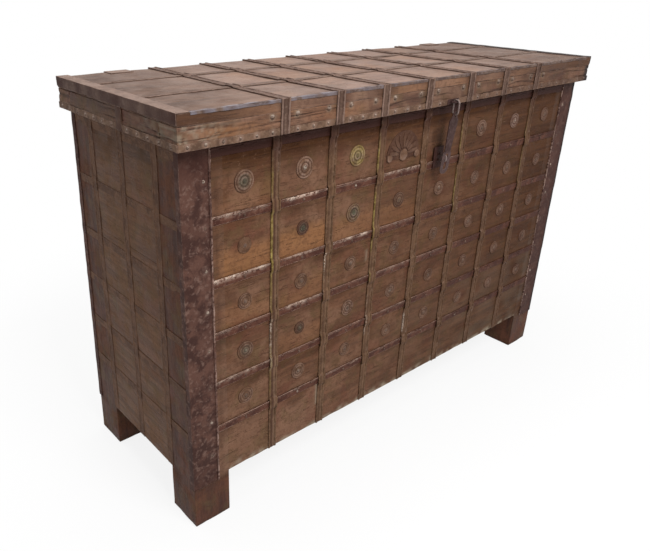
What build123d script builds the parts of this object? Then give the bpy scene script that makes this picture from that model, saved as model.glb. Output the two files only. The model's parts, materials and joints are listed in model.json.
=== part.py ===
"""Iron-bound wooden dowry chest on four feet, with a hinged lid and a hanging hasp.

Millimetres. X runs along the chest, the front faces -Y and Z is up.
The origin is on the floor, at the middle of the chest's overall box.
"""
from build123d import *

import os
from math import asin, cos, radians, sin, sqrt, tan

# Body: four posts run down into the feet, with boards between them
body_length = 1466.0
body_height = 932.0
rim_depth = 458.0
floor_depth = 492.0
foot_height = 127.0
post_size = 100.0
post_chamfer = 3.0
board_thickness = 26.0
back_board_count = 3
end_board_count = 3
floor_batten_size = (60.0, 24.0)
floor_batten_offset = 420.0
floor_board_thickness = 22.0

# Lid: boards on a frame of rails that rests on the rim
lid_length = 1500.0
lid_depth = 512.0
lid_board_thickness = 24.0
lid_rail_height = 45.0
lid_rail_width = 62.0
lid_batten_size = (50.0, 20.0)
lid_batten_offset = 250.0
lid_seat_gap = 0.4

# Straps on the body: level ones with a raised lip, upright ones with two beads
strap_thickness = 2.0
level_strap_height = 20.0
level_lip_height = 4.0
level_lip_thickness = 3.4
level_lip_slope = 1.0
level_strap_lower_edge = 1.4
level_nail_drop = 2.0
upright_strap_width = 24.0
bead_width = 5.0
bead_thickness = 3.4
top_strap_drop = 18.0
row_heights = (136.0, 120.0, 126.0, 125.0, 140.0)
column_count = 8
end_upright_spacing = 140.0
back_upright_count = 3
back_strap_step = 2
crossing_gap = 0.3
crossing_margin = 1.0
end_gap = 0.5

# Corner irons
corner_iron_thickness = 2.0
corner_iron_width = 70.0
corner_iron_return = 14.0
corner_iron_drop = 10.0
corner_nail_inset = 17.0
corner_nail_start = 71.0
corner_nail_pitch = 95.0

# Rosettes, the palmette and the nails
rosette_radius = 23.0
rosette_plate = 1.2
rosette_rim = 0.5
ring_height = 1.4
ring_width = 4.5
inner_ring_radius = 14.0
rosette_rows = 5
palmette_column = 3
hasp_column = 4
palmette_radius = 60.0
palmette_petals = 9
petal_length = 37.0
petal_width = 9.0
petal_height = 2.4
petal_margin = 5.5
palmette_plate = 1.2
palmette_hub_radius = 14.5
palmette_hub_height = 3.6
scroll_radius = 9.0
scroll_drop = 3.0
large_nail = (5.5, 3.6)
small_nail = (3.5, 2.2)

# Straps on the lid: their uneven spacing from the left hinge to the right one
lid_strap_pattern = (103.0, 155.0, 145.0, 160.0, 168.0, 157.0, 161.0, 151.0)
lid_strap_width = 24.0
lid_strap_thickness = 2.0
lid_bead_thickness = 3.2
lid_long_strap_width = 20.0
lid_board_joints = (-84.0, 109.0)
lid_edge_iron_top = 8.0
lid_edge_iron_drop = 5.0
lid_edge_iron_thickness = 1.5
lid_end_iron_top = 28.0
lid_end_iron_drop = 20.0
lid_lower_strip_height = 14.0
lid_lower_strip_thickness = 1.5
lid_nail_rise = 38.0
lid_nail_spread = 33.0
lower_nail_pitch = 40.0
lid_end_strap_y = -40.0

# Hinges at the back
hinge_end_inset = 133.0
hinge_width = 60.0
hinge_leaf_thickness = 3.0
hinge_leaf_length = 108.0
hinge_top_length = 34.0
knuckle_radius = 6.0
knuckle_stand_off = 1.5
knuckle_gap = 0.5
hinge_clearance = 0.05
hinge_nail_count = 3
hinge_nail_inset = 16.0
hinge_nail_pitch = 27.0
weld_overlap = 1.0
pin_radius = 3.0
pin_head_radius = 4.5
pin_head_thickness = 2.0

# Hasp: a staple on the lid, a link, the hasp and a staple on the body
hasp_x = 60.0
hasp_lean = 4.5
staple_wire = 2.5
lid_staple_reach = 13.0
lid_staple_rise = 7.0
lid_staple_spread = 18.0
staple_plate_size = (44.0, 12.0)
link_wire = 2.2
link_bend = 8.0
link_height = 36.0
link_seat = 0.3
hasp_thickness = 2.5
hasp_hole_radius = 4.2
hasp_hole_seat = 3.1
hasp_head_radius = 9.0
hasp_neck = 14.4
hasp_shoulder_drop = 14.4
hasp_width = 36.0
hasp_waist = 24.0
hasp_eye_overlap = 4.0
hasp_eye_drop = 123.0
hasp_eye_size = (34.0, 66.0)
hasp_slot = (12.0, 44.0)
slot_headroom = 4.0
body_staple_wire = 2.8
body_staple_spread = 15.0
body_staple_past_hasp = 2.0
body_plate_size = (40.0, 56.0)

# Worked-out places
half_length = body_length / 2
batter = (floor_depth - rim_depth) / 2 / body_height
board_run = board_thickness * sqrt(1 + batter * batter)
lid_bottom = body_height + lid_seat_gap
lid_board_base = lid_bottom + lid_rail_height
lid_top = lid_board_base + lid_board_thickness
top_strap = body_height - top_strap_drop
strap_levels = []
row_top = foot_height
for row_height in row_heights:
    row_top += row_height
    strap_levels.append(row_top)
strap_levels.append(top_strap)
row_joints = [foot_height] + strap_levels[:-1] + [body_height]
field_half_length = half_length - corner_iron_width
column_pitch = 2 * field_half_length / column_count
crossing_lift = level_lip_thickness + crossing_gap
crossing_half_height = level_strap_height / 2 + crossing_margin
hinge_offset = half_length - hinge_end_inset
pattern_stretch = 2 * hinge_offset / sum(lid_strap_pattern)
lid_strap_places = []
place = -hinge_offset
for spacing in lid_strap_pattern[:-1]:
    place += spacing * pattern_stretch
    lid_strap_places.append(place)

front = Plane(origin=(0, -floor_depth / 2, 0), x_dir=(1, 0, 0), z_dir=(0, -1, batter))
back = Plane(origin=(0, floor_depth / 2, 0), x_dir=(-1, 0, 0), z_dir=(0, 1, batter))
left = Plane(origin=(-half_length, 0, 0), x_dir=(0, -1, 0), z_dir=(-1, 0, 0))
right = Plane(origin=(half_length, 0, 0), x_dir=(0, 1, 0), z_dir=(1, 0, 0))
lid_front = Plane(origin=(0, -lid_depth / 2, 0), x_dir=(1, 0, 0), z_dir=(0, -1, 0))
lid_left = Plane(origin=(-lid_length / 2, 0, 0), x_dir=(0, -1, 0), z_dir=(-1, 0, 0))
lid_right = Plane(origin=(lid_length / 2, 0, 0), x_dir=(0, 1, 0), z_dir=(1, 0, 0))

# The hasp's link reaches further forward than the straps reach back
front_reach = lid_staple_reach + link_bend + link_wire
centring = (front_reach - lid_bead_thickness) / 2

nodes = {}


def add(name, solid):
    """File a separate solid under a node's name, with the origin at the middle of the whole chest."""
    nodes.setdefault(name, []).append(Pos(0, centring, 0) * solid)


def half_depth(z):
    """Half the body's depth over the boards, at height z."""
    return floor_depth / 2 - batter * z


def block(low, high):
    """A box between two corners."""
    size = [b - a for a, b in zip(low, high)]
    middle = [(a + b) / 2 for a, b in zip(low, high)]
    return Pos(*middle) * Box(*size)


def run_along(face, start, length, profile):
    """Extrude a profile of (height up the face, distance out) along the face."""
    origin = face.from_local_coords((start, 0, 0))
    section = Plane(origin=origin, x_dir=face.y_dir, z_dir=face.x_dir)
    return extrude(section * Polygon(*profile, align=None), length, dir=face.x_dir)


def crosswise(profile, start, length):
    """Extrude a profile of (y, z) points along X."""
    section = Plane(origin=(start, 0, 0), x_dir=(0, 1, 0), z_dir=(1, 0, 0))
    return extrude(section * Polygon(*profile, align=None), length, dir=(1, 0, 0))


def lengthwise(profile, start, length):
    """Extrude a profile of (x, z) points along Y."""
    section = Plane(origin=(0, start, 0), x_dir=(1, 0, 0), z_dir=(0, -1, 0))
    return extrude(section * Polygon(*profile, align=None), length, dir=(0, 1, 0))


def on_face(face, across, up, out, solid):
    """Place a solid, whose Z points out, on a face."""
    return face.location * Pos(across, up, out) * solid


def band(path, thickness):
    """The outline of a strip that follows a path, with its thickness on the left."""
    outer = []
    for i, (x, y) in enumerate(path):
        normals = []
        for a, b in ((i - 1, i), (i, i + 1)):
            if a >= 0 and b < len(path):
                dx = path[b][0] - path[a][0]
                dy = path[b][1] - path[a][1]
                run = sqrt(dx * dx + dy * dy)
                normals.append((-dy / run, dx / run))
        nx = sum(n[0] for n in normals) / len(normals)
        ny = sum(n[1] for n in normals) / len(normals)
        mitre = thickness / (nx * nx + ny * ny)
        outer.append((x + nx * mitre, y + ny * mitre))
    return list(path) + outer[::-1]


def bridged(start, end, crossings, half_width, lift):
    """A path from start to end that steps over each crossing, and stays up at a near end."""
    ramp = 2 * lift
    path = []
    for crossing in crossings:
        low = crossing - half_width
        high = crossing + half_width
        if low - ramp > start:
            path += [(low - ramp, 0), (low, lift)]
        if high + ramp < end:
            path += [(high, lift), (high + ramp, 0)]
    first = 0 if crossings[0] - half_width - ramp > start else lift
    last = 0 if crossings[-1] + half_width + ramp < end else lift
    return [(start, first)] + path + [(end, last)]


def beaded(make_strip, width, thickness, bead):
    """A strip with a raised bead along each edge, from make_strip(offset, width, thickness)."""
    strip = make_strip(-width / 2, width, thickness)
    strip += make_strip(-width / 2, bead_width, bead)
    strip += make_strip(width / 2 - bead_width, bead_width, bead)
    return strip


def free_spans(start, end, blocks):
    """The stretches between start and end that no (low, high) block covers."""
    spans = []
    place = start
    for low, high in sorted(blocks):
        if low > place:
            spans.append((place, min(low, end)))
        place = max(place, high)
    if place < end:
        spans.append((place, end))
    return spans


def dome(radius, height):
    """A nail's domed head, with its flat side on the XY plane."""
    ball = (radius * radius + height * height) / (2 * height)
    half_turn = asin(min(1.0, radius / ball)) / 2
    middle = (ball * sin(half_turn), height - ball + ball * cos(half_turn))
    outline = [
        Line((0, 0), (radius, 0)),
        ThreePointArc((radius, 0), middle, (0, height)),
        Line((0, height), (0, 0)),
    ]
    return revolve(Plane.XZ * make_face(outline), Axis.Z)


large_dome = dome(*large_nail)
small_dome = dome(*small_nail)


def make_posts():
    """Four corner posts, which lean with the battered front and back."""
    for end, x_start in (("left", -half_length), ("right", half_length - post_size)):
        for side, sign in (("front", -1), ("back", 1)):
            outer_low = sign * half_depth(0)
            outer_high = sign * half_depth(body_height)
            profile = [
                (outer_low, 0),
                (outer_low - sign * post_size, 0),
                (outer_high - sign * post_size, body_height),
                (outer_high, body_height),
            ]
            post = crosswise(profile, x_start, post_size)
            foot_edges = post.edges().group_by(Axis.Z)[0]
            add(f"post_{side}_{end}", chamfer(foot_edges, post_chamfer))


def make_long_boards():
    """The front and back boards, between the posts."""
    half = half_length - post_size
    for i, (low, high) in enumerate(zip(row_joints, row_joints[1:])):
        size = (2 * half, high - low, board_thickness)
        board = Pos(0, (low + high) / 2, -board_thickness / 2) * Box(*size)
        add(f"front_board_{i + 1}", front.location * board)
    height = (body_height - foot_height) / back_board_count
    for i in range(back_board_count):
        middle = foot_height + height * (i + 0.5)
        board = Pos(0, middle, -board_thickness / 2) * Box(2 * half, height, board_thickness)
        add(f"back_board_{i + 1}", back.location * board)


def make_end_boards():
    """The boards of the two ends, between the posts."""
    height = (body_height - foot_height) / end_board_count
    for i in range(end_board_count):
        low = foot_height + height * i
        high = low + height
        profile = [
            (-half_depth(low) + post_size, low),
            (half_depth(low) - post_size, low),
            (half_depth(high) - post_size, high),
            (-half_depth(high) + post_size, high),
        ]
        add(f"left_end_board_{i + 1}", crosswise(profile, -half_length, board_thickness))
        right_start = half_length - board_thickness
        add(f"right_end_board_{i + 1}", crosswise(profile, right_start, board_thickness))


def make_floor():
    """Floor boards on three battens. The outer boards run between the posts."""
    width, height = floor_batten_size
    batten_top = foot_height + height
    board_top = batten_top + floor_board_thickness
    batten_end = half_depth(batten_top) - board_run
    for x in (-floor_batten_offset, 0, floor_batten_offset):
        low = (x - width / 2, -batten_end, foot_height)
        add("floor_battens", block(low, (x + width / 2, batten_end, batten_top)))
    post_inside = half_depth(board_top) - post_size
    edge = half_depth(board_top) - board_run
    x_posts = half_length - post_size
    x_ends = half_length - board_thickness
    boards = (
        ("floor_board_front", x_posts, -edge, -post_inside),
        ("floor_board_middle_front", x_ends, -post_inside, 0),
        ("floor_board_middle_back", x_ends, 0, post_inside),
        ("floor_board_back", x_posts, post_inside, edge),
    )
    for name, half, low_y, high_y in boards:
        add(name, block((-half, low_y, batten_top), (half, high_y, board_top)))


def make_corner_irons():
    """A sheet iron on each post: a wide face with a bead, and a short return round the corner."""
    low = foot_height - corner_iron_drop
    high = body_height
    thick = corner_iron_thickness
    bead_start = corner_iron_width - bead_width
    for face, side, sign in ((front, "front", -1), (back, "back", 1)):
        for end, x_sign in (("left", -1), ("right", 1)):
            out = x_sign if face is front else -x_sign
            edge = half_length + thick
            plate_middle = out * (edge - (corner_iron_width + thick) / 2)
            size = (corner_iron_width + thick, high - low, thick)
            plate = on_face(face, plate_middle, (low + high) / 2, thick / 2, Box(*size))
            bead_middle = out * (half_length - bead_start - bead_width / 2)
            bead = Box(bead_width, high - low, bead_thickness)
            plate += on_face(face, bead_middle, (low + high) / 2, bead_thickness / 2, bead)
            profile = [
                (sign * half_depth(low), low),
                (sign * (half_depth(low) - corner_iron_return), low),
                (sign * (half_depth(high) - corner_iron_return), high),
                (sign * half_depth(high), high),
            ]
            start = half_length if x_sign > 0 else -half_length - thick
            plate += crosswise(profile, start, thick)
            add(f"corner_iron_{side}_{end}", plate)
            count = int((high - low - corner_nail_start) / corner_nail_pitch) + 1
            across = out * (half_length - corner_iron_width + corner_nail_inset)
            for i in range(count):
                up = high - corner_nail_start - corner_nail_pitch * i
                add("body_strap_nails", on_face(face, across, up, thick, small_dome))


def level_profile(level):
    """The section of a level strap: a flat strip with a raised lip along its top."""
    low = level - level_strap_height / 2
    high = level + level_strap_height / 2
    lip = high - level_lip_height
    return [
        (low, 0),
        (low, level_strap_lower_edge),
        (lip - level_lip_slope, strap_thickness),
        (lip, level_lip_thickness),
        (high, level_lip_thickness),
        (high, 0),
    ]


def make_front_straps():
    """Level straps, and upright straps that step over them."""
    half = field_half_length - end_gap
    for level in strap_levels:
        add("front_level_straps", run_along(front, -half, 2 * half, level_profile(level)))
        for column in range(column_count):
            across = -field_half_length + column_pitch * (column + 0.5)
            is_hasp = column == hasp_column and level == strap_levels[-2]
            if level != top_strap and not is_hasp:
                up = level - level_nail_drop
                add("body_strap_nails", on_face(front, across, up, strap_thickness, small_dome))
    path = bridged(foot_height, body_height, strap_levels, crossing_half_height, crossing_lift)
    for column in range(1, column_count):
        across = -field_half_length + column_pitch * column

        def strip(offset, width, thickness):
            return run_along(front, across + offset, width, band(path, thickness))

        strap = beaded(strip, upright_strap_width, strap_thickness, bead_thickness)
        add("front_upright_straps", strap)


def make_end_straps():
    """Level straps between the corner irons, and upright ones over them, on each end."""
    path = bridged(foot_height, body_height, strap_levels, crossing_half_height, crossing_lift)
    for face, name in ((left, "left"), (right, "right")):
        for level in strap_levels:
            half = half_depth(level + level_strap_height / 2) - corner_iron_return - end_gap
            add(f"{name}_end_straps", run_along(face, -half, 2 * half, level_profile(level)))
        for across in (-end_upright_spacing, 0, end_upright_spacing):

            def strip(offset, width, thickness):
                return run_along(face, across + offset, width, band(path, thickness))

            strap = beaded(strip, upright_strap_width, strap_thickness, bead_thickness)
            add(f"{name}_end_straps", strap)


def make_back_straps():
    """Plain straps on the back, below the hinges."""
    half = field_half_length - end_gap
    levels = strap_levels[1:-1:back_strap_step]
    for level in levels:
        add("back_straps", run_along(back, -half, 2 * half, level_profile(level)))
    path = bridged(foot_height, body_height, levels, crossing_half_height, crossing_lift)
    pitch = 2 * field_half_length / (back_upright_count + 1)
    for i in range(back_upright_count):
        across = -field_half_length + pitch * (i + 1)
        start = across - upright_strap_width / 2
        strap = run_along(back, start, upright_strap_width, band(path, strap_thickness))
        add("back_straps", strap)


def make_rosette():
    """A pressed disc with two raised rings, flat side on the XY plane."""
    top = rosette_plate
    ridge = rosette_plate + ring_height
    outline = [(0, 0), (rosette_radius, 0), (rosette_radius, top)]
    for radius in (rosette_radius - rosette_rim, inner_ring_radius):
        outline.append((radius, top))
        outline.append((radius - ring_width / 3, ridge))
        outline.append((radius - ring_width * 2 / 3, ridge))
        outline.append((radius - ring_width, top))
    outline.append((0, top))
    return revolve(Plane.XZ * Polygon(*outline, align=None), Axis.Z)


def make_rosettes():
    """One rosette and nail in the middle of each panel of the upper rows."""
    rosette = make_rosette()
    for row in range(rosette_rows):
        top_level, next_level = strap_levels[::-1][row : row + 2]
        up = (top_level + next_level) / 2
        for column in range(column_count):
            if row == 0 and column in (palmette_column, hasp_column):
                continue
            across = -field_half_length + column_pitch * (column + 0.5)
            add("front_rosettes", on_face(front, across, up, 0, rosette))
            add("rosette_nails", on_face(front, across, up, rosette_plate, large_dome))


def disc(radius, height):
    """A disc that stands on the XY plane."""
    return Pos(0, 0, height / 2) * Cylinder(radius, height)


def make_palmette():
    """A fan of petals round a hub, with a scroll at each end, on a thin plate."""
    plate = disc(palmette_radius, palmette_plate)
    side = 2 * palmette_radius
    plate -= Pos(0, -palmette_radius - scroll_radius, 0) * Box(side, side, side)
    petal = scale(disc(1, petal_height), (petal_length / 2, petal_width / 2, 1))
    petal_place = palmette_radius - petal_margin - petal_length / 2
    for i in range(palmette_petals):
        turn = 180 * (i + 0.5) / palmette_petals
        plate += Rot(0, 0, turn) * Pos(petal_place, 0, 0) * petal
    plate += disc(palmette_hub_radius, palmette_hub_height)
    for end in (-1, 1):
        place = Pos(end * (palmette_radius - scroll_radius), -scroll_drop, 0)
        plate += place * disc(scroll_radius, palmette_hub_height)
    across = -field_half_length + column_pitch * (palmette_column + 0.5)
    middle = (strap_levels[-2] + strap_levels[-1]) / 2
    up = middle - (palmette_radius - palmette_hub_radius) / 2
    add("palmette", on_face(front, across, up, 0, plate))


def make_lid_wood():
    """Three boards on a frame of four rails, stiffened by two battens."""
    half_x = lid_length / 2
    half_y = lid_depth / 2
    inner_y = half_y - lid_rail_width
    names = ("lid_board_front", "lid_board_middle", "lid_board_back")
    edges = (-half_y, *lid_board_joints, half_y)
    for name, low_y, high_y in zip(names, edges, edges[1:]):
        add(name, block((-half_x, low_y, lid_board_base), (half_x, high_y, lid_top)))
    add("lid_rail_front", block((-half_x, -half_y, lid_bottom), (half_x, -inner_y, lid_board_base)))
    add("lid_rail_back", block((-half_x, inner_y, lid_bottom), (half_x, half_y, lid_board_base)))
    inner_x = half_x - lid_rail_width
    add("lid_rail_left", block((-half_x, -inner_y, lid_bottom), (-inner_x, inner_y, lid_board_base)))
    add("lid_rail_right", block((inner_x, -inner_y, lid_bottom), (half_x, inner_y, lid_board_base)))
    width, height = lid_batten_size
    for x in (-lid_batten_offset, lid_batten_offset):
        low = (x - width / 2, -inner_y, lid_board_base - height)
        add("lid_battens", block(low, (x + width / 2, inner_y, lid_board_base)))


def lid_wrap(lift_at, half_width, lift):
    """The path of a lid strap: up the back, over the top and down the front."""
    half_y = lid_depth / 2
    path = [(half_y, lid_bottom), (half_y, lid_top)]
    for y in sorted(lift_at, reverse=True):
        path.append((y + half_width + 2 * lift, lid_top))
        path.append((y + half_width, lid_top + lift))
        path.append((y - half_width, lid_top + lift))
        path.append((y - half_width - 2 * lift, lid_top))
    path.append((-half_y, lid_top))
    path.append((-half_y, lid_bottom))
    return path[::-1]


def make_lid_straps():
    """Two long straps over the board joints, and cross straps that wrap over them."""
    half = lid_length / 2 - lid_end_iron_top - end_gap
    for y in lid_board_joints:
        low = (-half, y - lid_long_strap_width / 2, lid_top)
        high = (half, y + lid_long_strap_width / 2, lid_top + lid_strap_thickness)
        add("lid_long_straps", block(low, high))
    lift = lid_strap_thickness + crossing_gap
    path = lid_wrap(lid_board_joints, lid_long_strap_width / 2 + crossing_margin, lift)
    for x in lid_strap_places:

        def strip(offset, width, thickness):
            return crosswise(band(path, thickness), x + offset, width)

        strap = beaded(strip, lid_strap_width, lid_strap_thickness, lid_bead_thickness)
        add("lid_cross_straps", strap)
        for side in (-1, 1):
            across = x + side * lid_nail_spread
            up = lid_bottom + lid_nail_rise
            add("lid_nails", on_face(lid_front, across, up, 0, large_dome))


def make_lid_edges():
    """Thin irons along the lid's front edge, its two ends and its lower edge."""
    clear = lid_strap_width / 2 + end_gap
    straps = [(x - clear, x + clear) for x in lid_strap_places]
    half_y = lid_depth / 2
    inset = lid_length / 2 - lid_end_iron_top - end_gap
    edge_path = [
        (-half_y, lid_top - lid_edge_iron_drop),
        (-half_y, lid_top),
        (-half_y + lid_edge_iron_top, lid_top),
    ]
    for low, high in free_spans(-inset, inset, straps):
        strip = crosswise(band(edge_path, lid_edge_iron_thickness), low, high - low)
        add("lid_front_edge_irons", strip)
    plate_half = staple_plate_size[0] / 2 + end_gap
    thick = lid_lower_strip_thickness
    blocks = straps + [(hasp_x - plate_half, hasp_x + plate_half)]
    up = lid_bottom + lid_lower_strip_height / 2
    for low, high in free_spans(-lid_length / 2, lid_length / 2, blocks):
        strip = Box(high - low, lid_lower_strip_height, thick)
        add("lid_lower_strips", on_face(lid_front, (low + high) / 2, up, thick / 2, strip))
        count = int((high - low) / lower_nail_pitch)
        for i in range(count):
            across = low + (high - low) * (i + 0.5) / count
            add("lid_nails", on_face(lid_front, across, up, thick, small_dome))
    make_lid_ends(up, half_y)


def make_lid_ends(strip_middle, half_y):
    """The irons on the two ends of the lid."""
    thick = lid_lower_strip_thickness
    strap_half = upright_strap_width / 2
    for face, sign in ((lid_left, -1), (lid_right, 1)):
        half_x = sign * lid_length / 2
        path = [
            (half_x - sign * lid_end_iron_top, lid_top),
            (half_x, lid_top),
            (half_x, lid_top - lid_end_iron_drop),
        ]
        outline = band(path if sign > 0 else path[::-1], lid_strap_thickness)
        add("lid_end_irons", lengthwise(outline, -half_y, lid_depth))
        across = sign * lid_end_strap_y
        blocks = [(across - strap_half - end_gap, across + strap_half + end_gap)]
        for low, high in free_spans(-half_y, half_y, blocks):
            strip = Box(high - low, lid_lower_strip_height, thick)
            add("lid_lower_strips", on_face(face, (low + high) / 2, strip_middle, thick / 2, strip))
            count = int((high - low) / lower_nail_pitch)
            for i in range(count):
                place = low + (high - low) * (i + 0.5) / count
                add("lid_nails", on_face(face, place, strip_middle, thick, small_dome))
        top = lid_top - lid_end_iron_drop - end_gap
        size = (upright_strap_width, top - lid_bottom, strap_thickness)
        strap = on_face(face, across, (top + lid_bottom) / 2, strap_thickness / 2, Box(*size))
        add("lid_end_straps", strap)


def hinge_axis():
    """The hinge line as (y, z): behind the body and just under the lid."""
    z = lid_bottom - knuckle_radius - crossing_gap
    return half_depth(z) + knuckle_stand_off + knuckle_radius, z


def knuckle(x_low, x_high):
    """One knuckle of a hinge, without its bore."""
    y, z = hinge_axis()
    tube = Cylinder(knuckle_radius, x_high - x_low)
    return Pos((x_low + x_high) / 2, y, z) * Rot(0, 90, 0) * tube


def make_hinges():
    """Two iron hinges: a leaf on the body's back, a leaf round the lid's back edge, and a pin."""
    y, z = hinge_axis()
    third = hinge_width / 3
    reach = knuckle_radius + 2 * knuckle_gap
    bore = Rot(0, 90, 0) * Cylinder(pin_radius + hinge_clearance, 2 * hinge_width)
    for x in (-hinge_offset, hinge_offset):
        leaf = on_face(
            back,
            -x,
            z - hinge_leaf_length / 2,
            hinge_leaf_thickness / 2,
            Box(hinge_width, hinge_leaf_length, hinge_leaf_thickness),
        )
        room = block(
            (x - third / 2 - knuckle_gap, y - 3 * knuckle_radius, z - reach),
            (x + third / 2 + knuckle_gap, y + 3 * knuckle_radius, z + reach),
        )
        ends = knuckle(x - hinge_width / 2, x + hinge_width / 2) + leaf
        add("hinge_body_leaves", ends - room - Pos(x, y, z) * bore)
        add("hinge_lid_leaves", make_lid_leaf(x) - Pos(x, y, z) * bore)
        half_pin = hinge_width / 2 + knuckle_gap
        pin = Rot(0, 90, 0) * Cylinder(pin_radius, 2 * half_pin)
        for side in (-1, 1):
            place = side * (half_pin + pin_head_thickness / 2)
            pin += Pos(place, 0, 0) * Rot(0, 90, 0) * Cylinder(pin_head_radius, pin_head_thickness)
        add("hinge_pins", Pos(x, y, z) * pin)
        for i in range(hinge_nail_count):
            up = z - hinge_leaf_length + hinge_nail_inset + hinge_nail_pitch * i
            add("body_strap_nails", on_face(back, -x, up, hinge_leaf_thickness, large_dome))


def make_lid_leaf(x):
    """A hinge's lid leaf: from the middle knuckle under the overhang, up the back and over."""
    y, z = hinge_axis()
    third = hinge_width / 3
    half_y = lid_depth / 2
    start = y + knuckle_radius + knuckle_gap
    path = [
        (half_y - hinge_top_length, lid_top),
        (half_y, lid_top),
        (half_y, lid_bottom),
        (start, lid_bottom),
    ]
    leaf = crosswise(band(path, hinge_leaf_thickness), x - hinge_width / 2, hinge_width)
    half_tab = third / 2 - knuckle_gap
    tab_low = (x - half_tab, y, lid_bottom - hinge_leaf_thickness)
    leaf += block(tab_low, (x + half_tab, start + weld_overlap, lid_bottom))
    return leaf + knuckle(x - half_tab, x + half_tab)


def half_loop(bend, wire):
    """Half a ring of wire in the YZ plane, above the origin."""
    section = Plane(origin=(0, bend, 0), x_dir=(1, 0, 0), z_dir=(0, 0, 1)) * Circle(wire)
    return revolve(section, Axis.X, 180)


def staple(spread, reach, wire):
    """A U of wire that stands up from the XY plane, with its legs apart along X."""
    bend = spread / 2 - wire / 2
    path = FilletPolyline(
        (-spread / 2, 0, 0),
        (-spread / 2, 0, reach),
        (spread / 2, 0, reach),
        (spread / 2, 0, 0),
        radius=bend,
    )
    return sweep(Plane(origin=path @ 0, z_dir=path % 0) * Circle(wire), path=path)


def hasp_y():
    """The plane in which the link hangs. The hasp leans in from it."""
    return -lid_depth / 2 - lid_staple_reach


def make_hasp():
    """The lid's staple, the link that hangs on it, and the hasp on the link."""
    bar_z = lid_bottom + lid_staple_rise
    plate = Pos(0, 0, strap_thickness / 2) * Box(*staple_plate_size, strap_thickness)
    eye = plate + staple(lid_staple_spread, lid_staple_reach, staple_wire)
    add("lid_staple", on_face(lid_front, hasp_x, bar_z, 0, eye))

    top = bar_z + staple_wire + link_seat + link_wire
    straight = link_height - 2 * link_bend
    upper = half_loop(link_bend, link_wire)
    lower = Pos(0, 0, -straight) * Rot(180, 0, 0) * half_loop(link_bend, link_wire)
    link = upper + lower
    for side in (-1, 1):
        link += Pos(0, side * link_bend, -straight / 2) * Cylinder(link_wire, straight)
    add("hasp_link", Pos(hasp_x, hasp_y(), top - link_bend) * link)

    wire_z = top - link_height
    add("hasp", Pos(hasp_x, hasp_y(), wire_z) * Rot(hasp_lean, 0, 0) * hasp_plate())
    make_body_staple(wire_z)


def hasp_plate():
    """The hasp, in the XZ plane, measured from the wire that it hangs on."""
    hole_z = hasp_hole_seat - hasp_hole_radius
    eye_width, eye_height = hasp_eye_size
    slot_width, slot_height = hasp_slot
    eye_top = -hasp_eye_drop + eye_height / 2
    shoulder = hole_z - hasp_shoulder_drop
    waist_z = eye_top - hasp_eye_overlap
    strap = Polygon(
        (-hasp_neck / 2, hole_z),
        (hasp_neck / 2, hole_z),
        (hasp_width / 2, shoulder),
        (hasp_waist / 2, waist_z),
        (-hasp_waist / 2, waist_z),
        (-hasp_width / 2, shoulder),
        align=None,
    )
    head = Pos(0, hole_z) * Circle(hasp_head_radius)
    eye = Pos(0, -hasp_eye_drop) * SlotOverall(eye_height, eye_width, rotation=90)
    outline = head + strap + eye
    outline -= Pos(0, hole_z) * Circle(hasp_hole_radius)
    outline -= Pos(0, -hasp_eye_drop) * SlotOverall(slot_height, slot_width, rotation=90)
    return extrude(Plane.XZ * outline, hasp_thickness / 2, both=True)


def make_body_staple(wire_z):
    """The staple that the hasp's slot passes over, on its plate."""
    slot_top = wire_z - (hasp_eye_drop - hasp_slot[1] / 2) * cos(radians(hasp_lean))
    wire_top = slot_top - slot_headroom
    middle = wire_top - body_staple_wire - body_staple_spread / 2
    plate = Pos(0, 0, strap_thickness / 2) * Box(*body_plate_size, strap_thickness)
    hasp_front = -hasp_y() - (wire_z - middle) * tan(radians(hasp_lean))
    face_gap = hasp_front - half_depth(middle) - crossing_lift
    reach = face_gap + hasp_thickness / 2 + body_staple_past_hasp
    loop = Rot(0, 0, 90) * staple(body_staple_spread, reach - body_staple_wire, body_staple_wire)
    add("body_staple", on_face(front, hasp_x, middle, crossing_lift, plate + loop))


make_posts()
make_long_boards()
make_end_boards()
make_floor()
make_corner_irons()
make_front_straps()
make_end_straps()
make_back_straps()
make_rosettes()
make_palmette()
make_lid_wood()
make_lid_straps()
make_lid_edges()
make_hinges()
make_hasp()

os.makedirs("parts", exist_ok=True)
for node_name, solids in nodes.items():
    shape = solids[0] if len(solids) == 1 else Compound(children=solids)
    export_step(shape, f"parts/{node_name}.step")
print(len(nodes), "nodes")
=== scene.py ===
import json
import math

import bmesh
import bpy
import numpy as np
from mathutils import Matrix, Vector


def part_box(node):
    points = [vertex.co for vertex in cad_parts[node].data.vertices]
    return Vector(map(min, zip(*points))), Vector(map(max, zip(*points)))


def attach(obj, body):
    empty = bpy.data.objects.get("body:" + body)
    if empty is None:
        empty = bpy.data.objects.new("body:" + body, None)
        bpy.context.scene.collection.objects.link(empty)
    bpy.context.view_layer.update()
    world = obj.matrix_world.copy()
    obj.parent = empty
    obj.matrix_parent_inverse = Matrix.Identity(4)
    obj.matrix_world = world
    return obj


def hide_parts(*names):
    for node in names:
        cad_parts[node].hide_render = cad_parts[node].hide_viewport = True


# An old dowry chest: worn wood bound with strap iron, with pressed rosettes and a hanging hasp.
# Metres, in the chest's own frame: X along it, the front faces -Y, Z up.

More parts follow.
